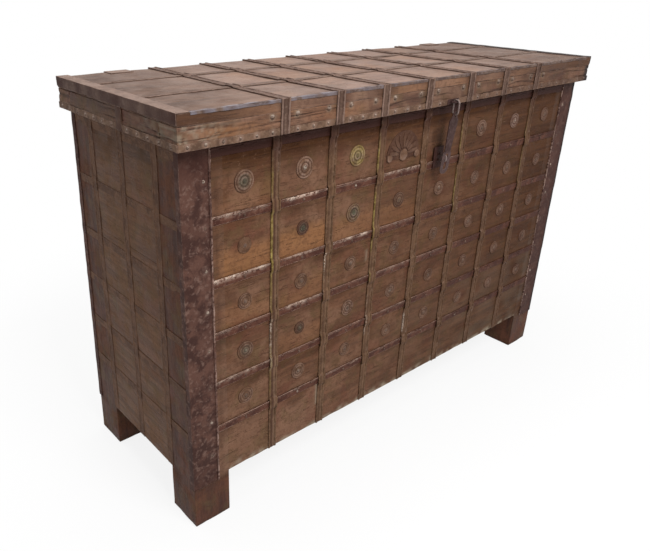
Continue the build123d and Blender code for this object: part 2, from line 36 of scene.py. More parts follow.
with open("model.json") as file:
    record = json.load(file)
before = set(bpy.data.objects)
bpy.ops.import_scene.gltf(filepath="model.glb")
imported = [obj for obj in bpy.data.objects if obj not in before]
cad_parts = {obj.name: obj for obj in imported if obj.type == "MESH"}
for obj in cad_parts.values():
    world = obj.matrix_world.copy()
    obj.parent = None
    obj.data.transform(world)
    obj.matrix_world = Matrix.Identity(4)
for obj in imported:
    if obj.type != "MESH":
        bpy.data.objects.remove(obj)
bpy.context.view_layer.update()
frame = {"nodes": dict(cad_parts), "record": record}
record = frame["record"]
body_of = {node: body for body, names in record["behaviour"]["bodies"].items() for node in names}

# The grid of the front
COLUMNS = 8
FIELD_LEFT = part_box("front_level_straps")[0][0]
FIELD_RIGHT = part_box("front_level_straps")[1][0]
COLUMN_PITCH = (FIELD_RIGHT - FIELD_LEFT) / COLUMNS
FRONT_ROWS = 6

# How far the old frame has moved out of true, over what distance, and over what height that grows
SWAY = 0.0009
SWAY_SIZE = 0.33
SWAY_RISE = 0.06
# How deep the cracks of the lid's rails are
CRACK_DEPTH = 0.0022
# Points closer than this are one point
WELD = 1e-6
# Faces that meet at less than this are one face, and edges sharper than this get rounded
FLAT_ANGLE = math.radians(0.6)
SHARP_ANGLE = math.radians(25)
# Edges sharper than this are shaded as edges
SMOOTH_ANGLE = math.radians(38)
# Dents or chips of no depth, and a grid that cuts nothing
SMOOTH = (0.0, 0.05)
WHOLE = (None, None, None)
# How far from a closed joint wear reaches its full depth
TIGHT_REACH = 0.008


# ---------------------------------------------------------------- worn meshes

def lumps(points, size, seed):
    """Smooth noise from -1 to 1 at each point, with lumps of a given size."""
    cells = points / np.asarray(size)
    low = np.floor(cells).astype(np.int64)
    part = cells - low
    part = part * part * (3 - 2 * part)
    total = np.zeros(len(points))
    for corner in np.ndindex(2, 2, 2):
        at = low + corner
        mixed = at[:, 0] * 73856093 ^ at[:, 1] * 19349663 ^ at[:, 2] * 83492791 ^ seed * 40503
        mixed = (mixed ^ (mixed >> 13)) * 1274126177 & 0xFFFFFFFF
        mixed = (mixed ^ (mixed >> 16)) & 0xFFFF
        weight = np.prod(np.where(corner, part, 1 - part), axis=1)
        total += weight * (mixed / 32767.5 - 1)
    return total


def ramp(values, start, width):
    """0 up to the start and 1 from a width beyond it; with a negative width, 1 below and 0 above."""
    return np.clip((values - start) / width, 0, 1)


def hump(values, middle, half):
    """1 at the middle, falling away smoothly over a half-width on each side."""
    return np.exp(-(((values - middle) / half) ** 2))


def patchy(points, size, seed, usual, spread, most=1):
    """Strength that varies from place to place about a usual value, from 0 up to the most."""
    return np.clip(usual + spread * lumps(points, size, seed), 0, most)


def sway(points):
    """How far the old frame has moved at each point: the same for every piece there."""
    moves = [lumps(points, SWAY_SIZE, seed) for seed in (11, 12, 13)]
    return SWAY * ramp(points[:, 2:], 0, SWAY_RISE) * np.stack(moves, axis=1)


def solids_of(node):
    """The separate solids of a CAD node, each as a bmesh of its own."""
    whole = bmesh.new()
    whole.from_mesh(frame["nodes"][node].data)
    bmesh.ops.remove_doubles(whole, verts=whole.verts, dist=WELD)
    seen = set()
    for start in whole.verts:
        if start in seen:
            continue
        seen.add(start)
        island = [start]
        for vert in island:
            for edge in vert.link_edges:
                other = edge.other_vert(vert)
                if other not in seen:
                    seen.add(other)
                    island.append(other)
        solid = bmesh.new()
        twin = {vert: solid.verts.new(vert.co) for vert in island}
        faces = dict.fromkeys(face for vert in island for face in vert.link_faces)
        for face in faces:
            solid.faces.new([twin[vert] for vert in face.verts])
        yield solid
        solid.free()
    whole.free()


def round_edges(solid, width, tight):
    """Merge flat triangles into faces, then round the sharp edges, except at a tight joint."""
    bmesh.ops.dissolve_limit(solid, angle_limit=FLAT_ANGLE, verts=solid.verts, edges=solid.edges)
    sharp = []
    for edge in solid.edges:
        if len(edge.link_faces) != 2 or edge.calc_face_angle() < SHARP_ANGLE:
            continue
        if tight and all(abs(abs(vert.co.x) - tight) < WELD for vert in edge.verts):
            continue
        sharp.append(edge)
    bmesh.ops.bevel(
        solid, geom=sharp, offset=width, segments=2, profile=0.6, affect="EDGES", clamp_overlap=True
    )


def cut_grid(solid, grid):
    """Cut a solid across X, Y and Z into cells of about the given sizes; None is uncut."""
    for axis, cell in enumerate(grid):
        if cell is None:
            continue
        places = [vert.co[axis] for vert in solid.verts]
        low = min(places)
        span = max(places) - low
        count = int(span / cell)
        normal = Vector((axis == 0, axis == 1, axis == 2))
        for i in range(1, count):
            everything = solid.verts[:] + solid.edges[:] + solid.faces[:]
            at = normal * (low + span * i / count)
            bmesh.ops.bisect_plane(solid, geom=everything, plane_co=at, plane_no=normal)


def points_of(solid):
    """A bmesh's points and normals as arrays."""
    solid.normal_update()
    points = np.array([vert.co for vert in solid.verts])
    normals = np.array([vert.normal for vert in solid.verts])
    return points, normals


def wear(points, normals, dents, chips, seed, loose):
    """Move points as age does: broad dents in the faces and chips out of the edges."""
    depth, size = dents
    moved = points + normals * (loose * depth * lumps(points, size, seed))[:, None]
    chip, chip_size = chips
    bites = np.clip(lumps(points, chip_size, seed + 1) - 0.1, 0, 1)
    moved -= normals * (chip * loose * bites * np.minimum(1, 4 * edginess(normals)))[:, None]
    return moved


def edginess(normals):
    """0 on a flat face and up to about 0.4 on a rounded edge."""
    return 1 - np.abs(normals).max(axis=1)


def middle_of(solid):
    """The middle of a solid's box."""
    points = np.array([vert.co for vert in solid.verts])
    return (points.min(axis=0) + points.max(axis=0)) / 2


def ring_stain(points, centres, radius, width):
    """1 on a ring round each nail and 0 away from it: a rubbed or rusty halo."""
    stain = np.zeros(len(points))
    for centre in centres:
        distance = np.linalg.norm(points - centre, axis=1)
        stain = np.maximum(stain, hump(distance, radius, width))
    return stain


def finish_piece(name, solid_data, node, material):
    """Make the object that stands for a node, from (vertices, faces, attributes) of its solids."""
    vertices = []
    faces = []
    columns = {}
    for verts, polygons, values in solid_data:
        start = len(vertices)
        vertices.extend(verts.tolist())
        faces.extend([[start + i for i in polygon] for polygon in polygons])
        for key, value in values.items():
            columns.setdefault(key, []).append(value)
    mesh = bpy.data.meshes.new(name)
    mesh.from_pydata(vertices, [], faces)
    mesh.shade_smooth()
    mesh.set_sharp_from_angle(angle=SMOOTH_ANGLE)
    for key, value in columns.items():
        attribute = mesh.attributes.new(key, "FLOAT", "POINT")
        attribute.data.foreach_set("value", np.concatenate(value).astype(np.float32))
    mesh.materials.append(material)
    piece = bpy.data.objects.new(name, mesh)
    bpy.context.scene.collection.objects.link(piece)
    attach(piece, body_of[node])
    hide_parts(node)
    return piece


def dress(
    node, material, grid=WHOLE, rounding=0.0, dents=SMOOTH, chips=SMOOTH,
    paint=None, press=None, tight=0.0, firm=False,
):
    """Stand a worn copy of a node's solids in its place.

    Press is (axis, plane, part kept): how far relief is hammered back onto a flat face.
    Tight is the distance from the middle of the chest of a joint that stays closed and unworn.
    A firm piece doesn't follow the sway of the frame, so that joints stay true.
    """
    data = []
    for number, solid in enumerate(solids_of(node)):
        if rounding:
            round_edges(solid, rounding, tight)
        cut_grid(solid, grid)
        points, normals = points_of(solid)
        loose = np.ones(len(points))
        if tight:
            loose = ramp(np.abs(np.abs(points[:, 0]) - tight), 0, TIGHT_REACH)
        values = {"edge": edginess(normals) * loose if rounding else np.zeros(len(points))}
        if paint:
            values.update(paint(points, normals))
        values = {key: np.broadcast_to(value, len(points)) for key, value in values.items()}
        seed = 100 + 7 * number + sum(map(ord, node))
        places = wear(points, normals, dents, chips, seed, loose)
        if "crack" in values:
            places -= normals * (CRACK_DEPTH * values["crack"])[:, None]
        if press:
            axis, plane, kept = press
            places[:, axis] = plane + (places[:, axis] - plane) * kept
        if not firm:
            places += sway(points)
        places[:, 2] = np.maximum(places[:, 2], 0.0)
        solid.verts.index_update()
        polygons = [[vert.index for vert in face.verts] for face in solid.faces]
        data.append((places, polygons, values))
    return finish_piece(node + "_worn", data, node, material)


# ---------------------------------------------------------------- shader tools

class Graph:
    """Adds and links the shader nodes of one tree."""

    def __init__(self, tree):
        self.tree = tree

    def feed(self, socket, value):
        """Link a socket, or set its own value."""
        if isinstance(value, bpy.types.NodeSocket):
            self.tree.links.new(value, socket)
        elif isinstance(value, tuple) and socket.type == "RGBA":
            socket.default_value = (*value, 1.0)
        else:
            socket.default_value = value

    def node(self, kind, feeds=None, **settings):
        """One node with its settings and inputs."""
        made = self.tree.nodes.new("ShaderNode" + kind)
        for name, value in settings.items():
            setattr(made, name, value)
        for name, value in (feeds or {}).items():
            self.feed(made.inputs[name], value)
        return made

    def math(self, operation, *values):
        """A sum on plain numbers."""
        return self.node("Math", dict(enumerate(values)), operation=operation).outputs[0]

    def stretch(self, vector, factors):
        """A vector with each part multiplied."""
        return self.node("VectorMath", {0: vector, 1: factors}, operation="MULTIPLY").outputs[0]

    def noise(self, vector, scale, detail=4.0, roughness=0.6, distortion=0.0):
        """Noise from 0 to 1."""
        feeds = {"Vector": vector, "Scale": scale, "Detail": detail}
        feeds.update({"Roughness": roughness, "Distortion": distortion})
        return self.node("TexNoise", feeds).outputs["Fac"]

    def step(self, value, low, high):
        """0 below low and 1 above high, smooth between."""
        feeds = {"Value": value, "From Min": low, "From Max": high}
        return self.node("MapRange", feeds, interpolation_type="SMOOTHSTEP").outputs["Result"]

    def mix(self, factor, a, b):
        """Colour a where the factor is 0 and b where it is 1."""
        return self.node("Mix", {0: factor, 6: a, 7: b}, data_type="RGBA").outputs[2]

    def lay(self, colour, layers):
        """A colour with layers over it, each a mask, how strongly it shows, and its colour."""
        for mask, strength, over in layers:
            colour = self.mix(self.math("MULTIPLY", mask, strength), colour, over)
        return colour

    def seen(self):
        """1 for what is seen, straight or in a mirror or through glass, and 0 for light on its way."""
        path = self.node("LightPath").outputs
        straight = self.math("MAXIMUM", path["Is Camera Ray"], path["Is Glossy Ray"])
        return self.math("MAXIMUM", straight, path["Is Transmission Ray"])

    def attribute(self, name):
        """A value painted on the points of a piece."""
        return self.node("Attribute", attribute_name=name).outputs["Fac"]

    def group(self, tree, feeds):
        """A placed group's outputs."""
        made = self.node("Group", node_tree=tree)
        for name, value in feeds.items():
            self.feed(made.inputs[name], value)
        return made.outputs


def new_group(name, inputs, outputs):
    """An empty shader group: its graph, its inputs inside and its outputs inside."""
    tree = bpy.data.node_groups.new(name, "ShaderNodeTree")
    for label, kind, value in inputs:
        socket = tree.interface.new_socket(name=label, in_out="INPUT", socket_type="NodeSocket" + kind)
        socket.default_value = value
    for label in outputs:
        tree.interface.new_socket(name=label, in_out="OUTPUT", socket_type="NodeSocketFloat")
    enter = tree.nodes.new("NodeGroupInput").outputs
    leave = tree.nodes.new("NodeGroupOutput").inputs
    return Graph(tree), enter, leave


def make_grain():
    """Long streaks and short dark pores that run with the wood."""
    inputs = [("Vector", "Vector", (0, 0, 0)), ("Along", "Vector", (2, 30, 30))]
    g, enter, leave = new_group("grain", inputs, ["Streaks", "Pores"])
    run = g.stretch(enter["Vector"], enter["Along"])
    g.feed(leave["Streaks"], g.noise(run, 1.0, 6.0, 0.62, 0.6))
    fine = g.noise(run, 5.0, 3.0, 0.7, 0.2)
    g.feed(leave["Pores"], g.step(fine, 0.58, 0.72))
    return g.tree


def make_blotches():
    """Soft-edged patches of a given size."""
    inputs = [("Vector", "Vector", (0, 0, 0)), ("Size", "Float", 0.05)]
    inputs += [("Cover", "Float", 0.5), ("Softness", "Float", 0.1)]
    g, enter, leave = new_group("blotches", inputs, ["Mask"])
    scale = g.math("DIVIDE", 1.0, enter["Size"])
    patches = g.noise(enter["Vector"], scale, 5.0, 0.6, 0.3)
    middle = g.math("SUBTRACT", 1.0, enter["Cover"])
    low = g.math("SUBTRACT", middle, enter["Softness"])
    high = g.math("ADD", middle, enter["Softness"])
    g.feed(leave["Mask"], g.step(patches, low, high))
    return g.tree


def make_edge_wear():
    """Where edges are rubbed bright, broken up along their length."""
    inputs = [("Vector", "Vector", (0, 0, 0)), ("Amount", "Float", 0.5), ("Breakup", "Float", 0.012)]
    g, enter, leave = new_group("edge_wear", inputs, ["Mask"])
    scale = g.math("DIVIDE", 1.0, enter["Breakup"])
    broken = g.noise(enter["Vector"], scale, 3.0, 0.6)
    rubbed = g.step(g.attribute("edge"), 0.03, 0.22)
    kept = g.step(g.math("ADD", broken, enter["Amount"]), 0.78, 1.05)
    g.feed(leave["Mask"], g.math("MULTIPLY", rubbed, kept))
    return g.tree


def make_crevice_dirt_and_shade():
    """Dirt and painted shade where pieces meet, darker where a point is closed in, thick in some places and
    thin in others.
    """
    inputs = [("Vector", "Vector", (0, 0, 0)), ("Reach", "Float", 0.012), ("Amount", "Float", 0.7)]
    g, enter, leave = new_group("crevice_dirt_and_shade", inputs, ["Mask"])
    # How closed in each point is, from ambient occlusion: the mask is dirt and painted shade together
    open_sky = g.node("AmbientOcclusion", {"Distance": enter["Reach"]}, samples=4).outputs["AO"]
    closed = g.math("SUBTRACT", 1.0, open_sky)
    feeds = {"Value": g.noise(enter["Vector"], 28.0, 4.0), "From Min": 0.35, "From Max": 0.65}
    uneven = g.node("MapRange", feeds).outputs["Result"]
    thick = g.math("MULTIPLY", g.step(closed, 0.12, 0.80), uneven)
    g.feed(leave["Mask"], g.math("MULTIPLY", thick, enter["Amount"]))
    return g.tree


def make_settled_dust():
    """Pale dust on what faces up."""
    inputs = [("Vector", "Vector", (0, 0, 0)), ("Amount", "Float", 0.5)]
    g, enter, leave = new_group("settled_dust", inputs, ["Mask"])
    facing = g.node("NewGeometry").outputs["Normal"]
    upward = g.node("SeparateXYZ", {0: facing}).outputs["Z"]
    drift = g.step(g.noise(enter["Vector"], 14.0, 5.0, 0.6), 0.25, 0.75)
    level = g.math("MULTIPLY", g.step(upward, 0.35, 0.95), drift)
    g.feed(leave["Mask"], g.math("MULTIPLY", level, enter["Amount"]))
    return g.tree


grain = make_grain()
blotches = make_blotches()
edge_wear = make_edge_wear()
crevice_dirt_and_shade = make_crevice_dirt_and_shade()
settled_dust = make_settled_dust()

# Dark brown for dirt in cracks, and for dirt and painted shade where pieces meet
DIRT_AND_SHADE = (0.028, 0.012, 0.008)
DUST = (0.270, 0.195, 0.160)
NEAR_BLACK = (0.012, 0.008, 0.008)
RED_STAIN = (0.115, 0.040, 0.026)
OLIVE_STAIN = (0.088, 0.058, 0.024)
PALE_STAIN = (0.260, 0.210, 0.155)
# Two colours each: the darker and the lighter streaks or flecks
WARM_WOOD = ((0.170, 0.070, 0.028), (0.290, 0.140, 0.062))
SHADED_WOOD = ((0.028, 0.010, 0.004), (0.057, 0.022, 0.008))
BRASS = ((0.110, 0.075, 0.016), (0.300, 0.225, 0.060))
VERDIGRIS = ((0.045, 0.045, 0.028), (0.105, 0.108, 0.072))
SHADED_IRON = (0.038, 0.012, 0.008)
BARE_IRON = (0.340, 0.225, 0.180)
# Pale metal where chips and beads are bare, also used for painted highlights on the lid's nails and the link
BRIGHT_METAL_AND_HIGHLIGHT = (0.560, 0.460, 0.380)
GLOSS = 0.14
DULL_GLOSS = 0.05

# How finely grain is drawn out along X, Y or Z
ALONG_X = (4.0, 60.0, 60.0)
ALONG_Y = (60.0, 4.0, 60.0)
ALONG_Z = (60.0, 60.0, 4.0)


def new_material(name, gloss=GLOSS):
    """A material's graph, its surface shader and the object's own coordinates."""
    material = bpy.data.materials.new(name)
    material.use_nodes = True
    material.node_tree.nodes.clear()
    g = Graph(material.node_tree)
    shader = g.node("BsdfPrincipled", {"Specular IOR Level": gloss})
    g.node("OutputMaterial", {"Surface": shader.outputs[0]})
    return material, g, shader, g.node("TexCoord").outputs["Object"]


def set_surface(g, shader, colour, rough_by, roughness, height, distance):
    """Feed the shader's colour, its roughness over a mask from one value to another, and fine relief."""
    g.feed(shader.inputs["Base Color"], colour)
    feeds = {"Value": rough_by, "To Min": roughness[0], "To Max": roughness[1]}
    g.feed(shader.inputs["Roughness"], g.node("MapRange", feeds).outputs["Result"])
    feeds = {"Height": height, "Distance": distance, "Strength": 0.8}
    g.feed(shader.inputs["Normal"], g.node("Bump", feeds).outputs["Normal"])


def patch(g, where, size, cover, softness):
    """A mask of patches."""
    return g.group(blotches, {"Vector": where, "Size": size, "Cover": cover, "Softness": softness})["Mask"]


def make_wood(
    name, dark, middle, light, along, dust=0.0, grime_and_shade=0.55, olive=0.45, red=0.45,
    other=None, other_along=None, gloss=GLOSS,
):
    """Old stained wood: grain, red and olive patches, pale scuffs, rubbed edges, dirt and painted shade in
    the corners.

    Where the attribute side is painted, it has the other three colours and the other grain.
    """
    material, g, shader, where = new_material(name, gloss)
    if other:
        side = g.attribute("side")
        dark, middle, light = (g.mix(side, *pair) for pair in zip((dark, middle, light), other))
        along = g.mix(side, along, other_along or along)
    lines = g.group(grain, {"Vector": where, "Along": along})
    streaks = g.step(lines["Streaks"], 0.34, 0.66)
    worn = patch(g, where, 0.070, 0.46, 0.10)
    dulled = patch(g, where, 0.022, 0.40, 0.10)
    scuffs = g.step(g.noise(g.stretch(where, along), 6.0, 3.0, 0.7), 0.58, 0.72)
    scuffed = g.math("MULTIPLY", scuffs, patch(g, where, 0.030, 0.48, 0.10))
    edges = g.group(edge_wear, {"Vector": where, "Amount": 0.35, "Breakup": 0.02})["Mask"]
    # Dirt and painted shade where pieces meet
    dirty_and_shaded = g.group(crevice_dirt_and_shade, {"Vector": where, "Reach": 0.014, "Amount": grime_and_shade})["Mask"]
    layers = [
        (worn, 0.60, light),
        (g.attribute("tone"), 0.40, light),
        (patch(g, where, 0.110, 0.42, 0.08), red, RED_STAIN),
        (patch(g, where, 0.045, 0.44, 0.10), olive, OLIVE_STAIN),
        (g.attribute("glow"), 1.0, g.mix(lines["Streaks"], *WARM_WOOD)),
        (g.attribute("shade"), 1.0, g.mix(streaks, *SHADED_WOOD)),
        (dulled, 0.35, dark),
        (patch(g, where, 0.009, 0.42, 0.09), 0.42, dark),
        (patch(g, where, 0.006, 0.33, 0.08), 0.35, light),
        (scuffed, 0.45, light),
        (lines["Pores"], 0.60, dark),
        (g.attribute("crack"), 0.80, DIRT_AND_SHADE),
        (edges, 0.50, light),
        (g.attribute("stain"), 1.0, PALE_STAIN),
        (dirty_and_shaded, g.math("SUBTRACT", 1.0, g.attribute("faded")), DIRT_AND_SHADE),
    ]
    if dust:
        layers.append((g.group(settled_dust, {"Vector": where, "Amount": dust})["Mask"], 1.0, DUST))
    layers.append((g.attribute("black"), 1.0, NEAR_BLACK))
    colour = g.lay(g.mix(streaks, dark, middle), layers)
    height = g.math("SUBTRACT", lines["Streaks"], g.math("MULTIPLY", lines["Pores"], 0.8))
    height = g.math("ADD", height, g.math("MULTIPLY", scuffed, 0.5))
    height = g.math("SUBTRACT", height, g.math("MULTIPLY", dulled, 0.4))
    set_surface(g, shader, colour, worn, (0.55, 0.78), height, 0.0015)
    return material


def make_iron(
    name, dark, middle, light, rubbing, dust=0.0, grime_and_shade=0.7,
    pit_size=0.0035, flecking=0.0075, bare_colour=BARE_IRON, metal=0.10,
):
    """Old strap iron: rust and old paint in patches, pits, pale where it is rubbed."""
    material, g, shader, where = new_material(name)
    flecks = patch(g, where, flecking, 0.41, 0.08)
    rubbed = g.group(edge_wear, {"Vector": where, "Amount": rubbing, "Breakup": 0.012})["Mask"]
    chipped = g.math("MULTIPLY", g.attribute("chip"), patch(g, where, 0.009, 0.52, 0.05))
    bare = g.math("MAXIMUM", g.math("MULTIPLY", rubbed, 0.7), chipped)
    bare = g.math("MAXIMUM", bare, g.math("MULTIPLY", g.attribute("halo"), 0.55))
    flaking = g.step(g.noise(where, 240.0, 2.0), 0.40, 0.56)
    # Dirt and painted shade where pieces meet
    dirty_and_shaded = g.group(crevice_dirt_and_shade, {"Vector": where, "Reach": 0.007, "Amount": grime_and_shade})["Mask"]
    layers = [
        (patch(g, where, 0.090, 0.44, 0.10), 0.45, dark),
        (flecks, 0.50, light),
        (patch(g, where, 0.005, 0.40, 0.08), 0.40, dark),
        (g.attribute("brass"), 1.0, g.mix(patch(g, where, 0.012, 0.50, 0.15), *BRASS)),
        (g.attribute("green"), 1.0, g.mix(flecks, *VERDIGRIS)),
        (g.attribute("shade"), 1.0, SHADED_IRON),
        (bare, 1.0, bare_colour),
        # Bright bare metal, and painted highlights on the lid's nails and the link
        (g.attribute("bright"), flaking, BRIGHT_METAL_AND_HIGHLIGHT),
        (dirty_and_shaded, 1.0, DIRT_AND_SHADE),
    ]
    if dust:
        dusty = g.group(settled_dust, {"Vector": where, "Amount": dust})["Mask"]
        layers.append((dusty, g.math("SUBTRACT", 1.0, g.attribute("shade")), DUST))
    layers.append((g.attribute("black"), 1.0, NEAR_BLACK))
    colour = g.lay(g.mix(patch(g, where, 0.030, 0.50, 0.10), dark, middle), layers)
    g.feed(shader.inputs["Metallic"], g.math("MULTIPLY", bare, metal))
    height = g.math("ADD", g.noise(where, 1.0 / pit_size, 3.0, 0.7), g.math("MULTIPLY", flecks, 0.6))
    set_surface(g, shader, colour, bare, (0.66, 0.42), height, 0.0008)
    return material


# Dark, middle and light colours of the woods
FRONT_COLOURS = ((0.066, 0.029, 0.016), (0.122, 0.053, 0.028), (0.192, 0.104, 0.066))
POST_COLOURS = ((0.042, 0.015, 0.009), (0.082, 0.030, 0.016), (0.122, 0.053, 0.030))
END_COLOURS = ((0.076, 0.035, 0.019), (0.135, 0.066, 0.035), (0.150, 0.082, 0.046))
REDDISH_END = ((0.062, 0.023, 0.014), (0.116, 0.046, 0.027), (0.150, 0.070, 0.044))
BACK_COLOURS = ((0.076, 0.035, 0.019), (0.135, 0.066, 0.035), (0.140, 0.080, 0.052))
INNER_COLOURS = ((0.105, 0.062, 0.038), (0.170, 0.105, 0.068), (0.220, 0.145, 0.098))
LID_COLOURS = ((0.105, 0.063, 0.047), (0.180, 0.114, 0.088), (0.240, 0.160, 0.130))
SKIRT_COLOURS = ((0.078, 0.038, 0.025), (0.175, 0.088, 0.054), (0.225, 0.132, 0.090))
SKIRT_END_COLOURS = ((0.054, 0.026, 0.017), (0.112, 0.058, 0.038), (0.165, 0.100, 0.070))

front_wood = make_wood("front_wood", *FRONT_COLOURS, ALONG_X, gloss=DULL_GLOSS)
post_wood = make_wood("post_wood", *POST_COLOURS, ALONG_Z, other=FRONT_COLOURS, other_along=ALONG_X)
end_wood = make_wood("end_wood", *END_COLOURS, ALONG_Y, olive=0.40, red=0.30, grime_and_shade=0.25, other=REDDISH_END)
back_wood = make_wood("back_wood", *BACK_COLOURS, ALONG_X, olive=0.30)
inner_wood = make_wood("inner_wood", *INNER_COLOURS, ALONG_X)
lid_wood = make_wood("lid_wood", *LID_COLOURS, ALONG_X, dust=0.40, olive=0.18, red=0.22, other=SKIRT_COLOURS)
skirt_wood = make_wood("skirt_wood", *SKIRT_COLOURS, ALONG_X)
skirt_end_wood = make_wood("skirt_end_wood", *SKIRT_END_COLOURS, ALONG_Y, grime_and_shade=0.25)

# Each iron's dark, middle and light colours, and how much its edges are rubbed
IRON_LOOKS = {
    "level_iron": ((0.050, 0.016, 0.010), (0.094, 0.035, 0.021), (0.150, 0.072, 0.048), 0.60),
    "upright_iron": ((0.080, 0.040, 0.019), (0.122, 0.064, 0.033), (0.175, 0.102, 0.058), 0.30),
    "end_iron": ((0.072, 0.034, 0.019), (0.122, 0.060, 0.033), (0.150, 0.082, 0.048), 0.20),
    "corner_iron": ((0.040, 0.016, 0.012), (0.092, 0.042, 0.030), (0.185, 0.112, 0.088), 0.45),
    "lid_iron": ((0.066, 0.037, 0.026), (0.112, 0.066, 0.047), (0.175, 0.116, 0.088), 0.40),
    "lid_end_iron": ((0.105, 0.064, 0.048), (0.165, 0.106, 0.082), (0.220, 0.150, 0.120), 0.45),
    "skirt_iron": ((0.085, 0.046, 0.029), (0.150, 0.086, 0.055), (0.215, 0.145, 0.098), 0.40),
    "edge_iron": ((0.070, 0.042, 0.034), (0.130, 0.084, 0.064), (0.200, 0.160, 0.150), 0.50),
    "forged_iron": ((0.034, 0.016, 0.014), (0.060, 0.031, 0.028), (0.100, 0.062, 0.056), 0.25),
    "sheet_iron": ((0.076, 0.036, 0.019), (0.126, 0.064, 0.035), (0.175, 0.100, 0.062), 0.35),
    "nail_iron": ((0.070, 0.040, 0.028), (0.130, 0.080, 0.058), (0.260, 0.190, 0.150), 0.70),
}
# What else sets some of them apart
IRON_EXTRAS = {
    "level_iron": {"bare_colour": (0.430, 0.300, 0.235)},
    "upright_iron": {"grime_and_shade": 0.4},
    "end_iron": {"grime_and_shade": 0.15},
    "corner_iron": {"pit_size": 0.006, "flecking": 0.011},
    "lid_iron": {"dust": 0.22},
    "lid_end_iron": {"dust": 0.35},
    "edge_iron": {"bare_colour": (0.165, 0.145, 0.165)},
    "forged_iron": {"bare_colour": (0.270, 0.205, 0.190)},
    "nail_iron": {"metal": 0.4},
}
irons = {name: make_iron(name, *looks, **IRON_EXTRAS.get(name, {})) for name, looks in IRON_LOOKS.items()}


# ---------------------------------------------------------------- the front's panels

# Panels rubbed warm and pale below, as (row from the top, column from the left): strength
GLOWING = {
    (1, 1): 0.15, (2, 1): 0.70, (2, 2): 0.80, (2, 3): 0.45,
    (2, 4): 0.35, (3, 1): 0.30, (3, 2): 0.30, (4, 2): 0.25,
}
# From which column the panels grow darker towards the right, and by how much: partly a duller colour, partly
# painted fall-off of the light
DULL_AND_FALLOFF_FROM = 2.0
DULL_AND_FALLOFF_BY = 0.85
# Pale drips and scrapes on the front, as (x, low z, high z, half-width, strength)
DRIPS = (
    (-0.345, 0.190, 0.262, 0.0035, 0.7),
    (0.010, 0.790, 0.822, 0.0025, 0.8),
    (-0.190, 0.560, 0.590, 0.0040, 0.4),
    (0.330, 0.425, 0.455, 0.0030, 0.4),
)
# Painted shadow of the hasp on the panel beside it, as (x, z, half-width, half-height, strength), from the
# body's staple
HASP_SHADOW = ((-0.014, -0.020, 0.020, 0.036, 1.0), (-0.020, 0.060, 0.016, 0.055, 0.7))

front_boards = [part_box(f"front_board_{number}") for number in range(1, FRONT_ROWS + 1)]
ROW_FEET = np.array([low[2] for low, high in front_boards])
ROW_TOPS = np.array([high[2] for low, high in front_boards])
POST_JOINT = front_boards[0][1][0]
LID_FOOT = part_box("lid_rail_front")[0][2]
STAPLE = [sum(ends) / 2 for ends in zip(*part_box("body_staple"))]


def columns_at(points):
    """Which column of the front each point is in, from 0 on the left."""
    return np.clip((points[:, 0] - FIELD_LEFT) / COLUMN_PITCH, 0, COLUMNS - 0.001)


def dullness_and_falloff_shade(column):
    """How much darker the front grows towards the right: partly a duller colour, partly painted fall-off of
    the light.
    """
    return DULL_AND_FALLOFF_BY * ramp(column, DULL_AND_FALLOFF_FROM, COLUMNS - DULL_AND_FALLOFF_FROM)


def fading(column):
    """How far the straps fade into the panels: 0 on the left and 1 on the right."""
    return ramp(column, 3, 3)


def cell_noise(column, row, seed):
    """One value from 0 to 1 for each panel."""
    places = np.stack([np.floor(column) + 0.5, row + 0.0 * column, 0.0 * column], axis=1)
    return 0.5 + 0.5 * lumps(places, 0.83, seed)


def lid_shadow(points):
    """1 close under the lid, where its shadow is painted, and 0 a hand's breadth below it."""
    return ramp(points[:, 2], LID_FOOT - 0.090, 0.055)


def front_paint(points, normals):
    """How the panels of the front differ: their tone, glow, shade and stains."""
    x, _, z = points.T
    column = columns_at(points)
    board = np.clip(np.searchsorted(ROW_TOPS, z), 0, FRONT_ROWS - 1)
    row = FRONT_ROWS - board
    height = (z - ROW_FEET[board]) / (ROW_TOPS[board] - ROW_FEET[board])
    uneven = lumps(points, 0.06, 31)
    glow = np.zeros(len(points))
    for (glow_row, glow_column), strength in GLOWING.items():
        below = ramp(height, 0.58 + 0.15 * uneven, -0.22)
        inside = ramp(np.mod(column, 1.0), 0, 0.15) * (np.floor(column) == glow_column - 1)
        glow += strength * below * inside * (row == glow_row)
    # Darker to the right (partly painted fall-off of the light), painted shade at the top of each panel under
    # the strap above, the lid's painted shadow, the wood's own dark band beside the corner iron, and the
    # hasp's painted shadow
    shades = [
        dullness_and_falloff_shade(column),
        0.45 * ramp(height + 0.2 * uneven, 0.72, 0.2),
        lid_shadow(points),
        0.55 * hump(np.abs(x), -FIELD_LEFT - 0.012, 0.007) * (0.7 + 0.5 * uneven),
    ]
    for mark_x, mark_z, half_width, half_height, strength in HASP_SHADOW:
        level = hump(z, STAPLE[2] + mark_z, half_height)
        shades.append(strength * level * hump(x, STAPLE[0] + mark_x, half_width))
    shade = np.max(shades, axis=0)
    stain = 0.08 * fading(column) * ramp(z, 0.46, -0.15) * patchy(points, 0.04, 8, 0.8, 1.0, 1.4)
    for drip_x, low, high, half_width, strength in DRIPS:
        near = hump(x - 0.002 * lumps(points, 0.01, 5), drip_x, half_width)
        stain += strength * near * ((z > low) & (z < high))
    ragged = 0.012 + 0.008 * lumps(points, 0.03, 6)
    weathered = np.clip(1.3 - (z - ROW_FEET[0]) / ragged, 0, 1) * (np.abs(x) < POST_JOINT)
    stain += weathered * patchy(points, (0.014, 0.014, 0.008), 7, 0.45, 1.6, 0.85)
    tone = cell_noise(column, row, 21) * (1 - shade)
    tone += 0.9 * ramp(z, 0.34, -0.12) * ramp(column, 4.5, -3)
    return {"tone": tone, "glow": glow, "shade": shade, "stain": stain, "faded": 0.6 * fading(column)}


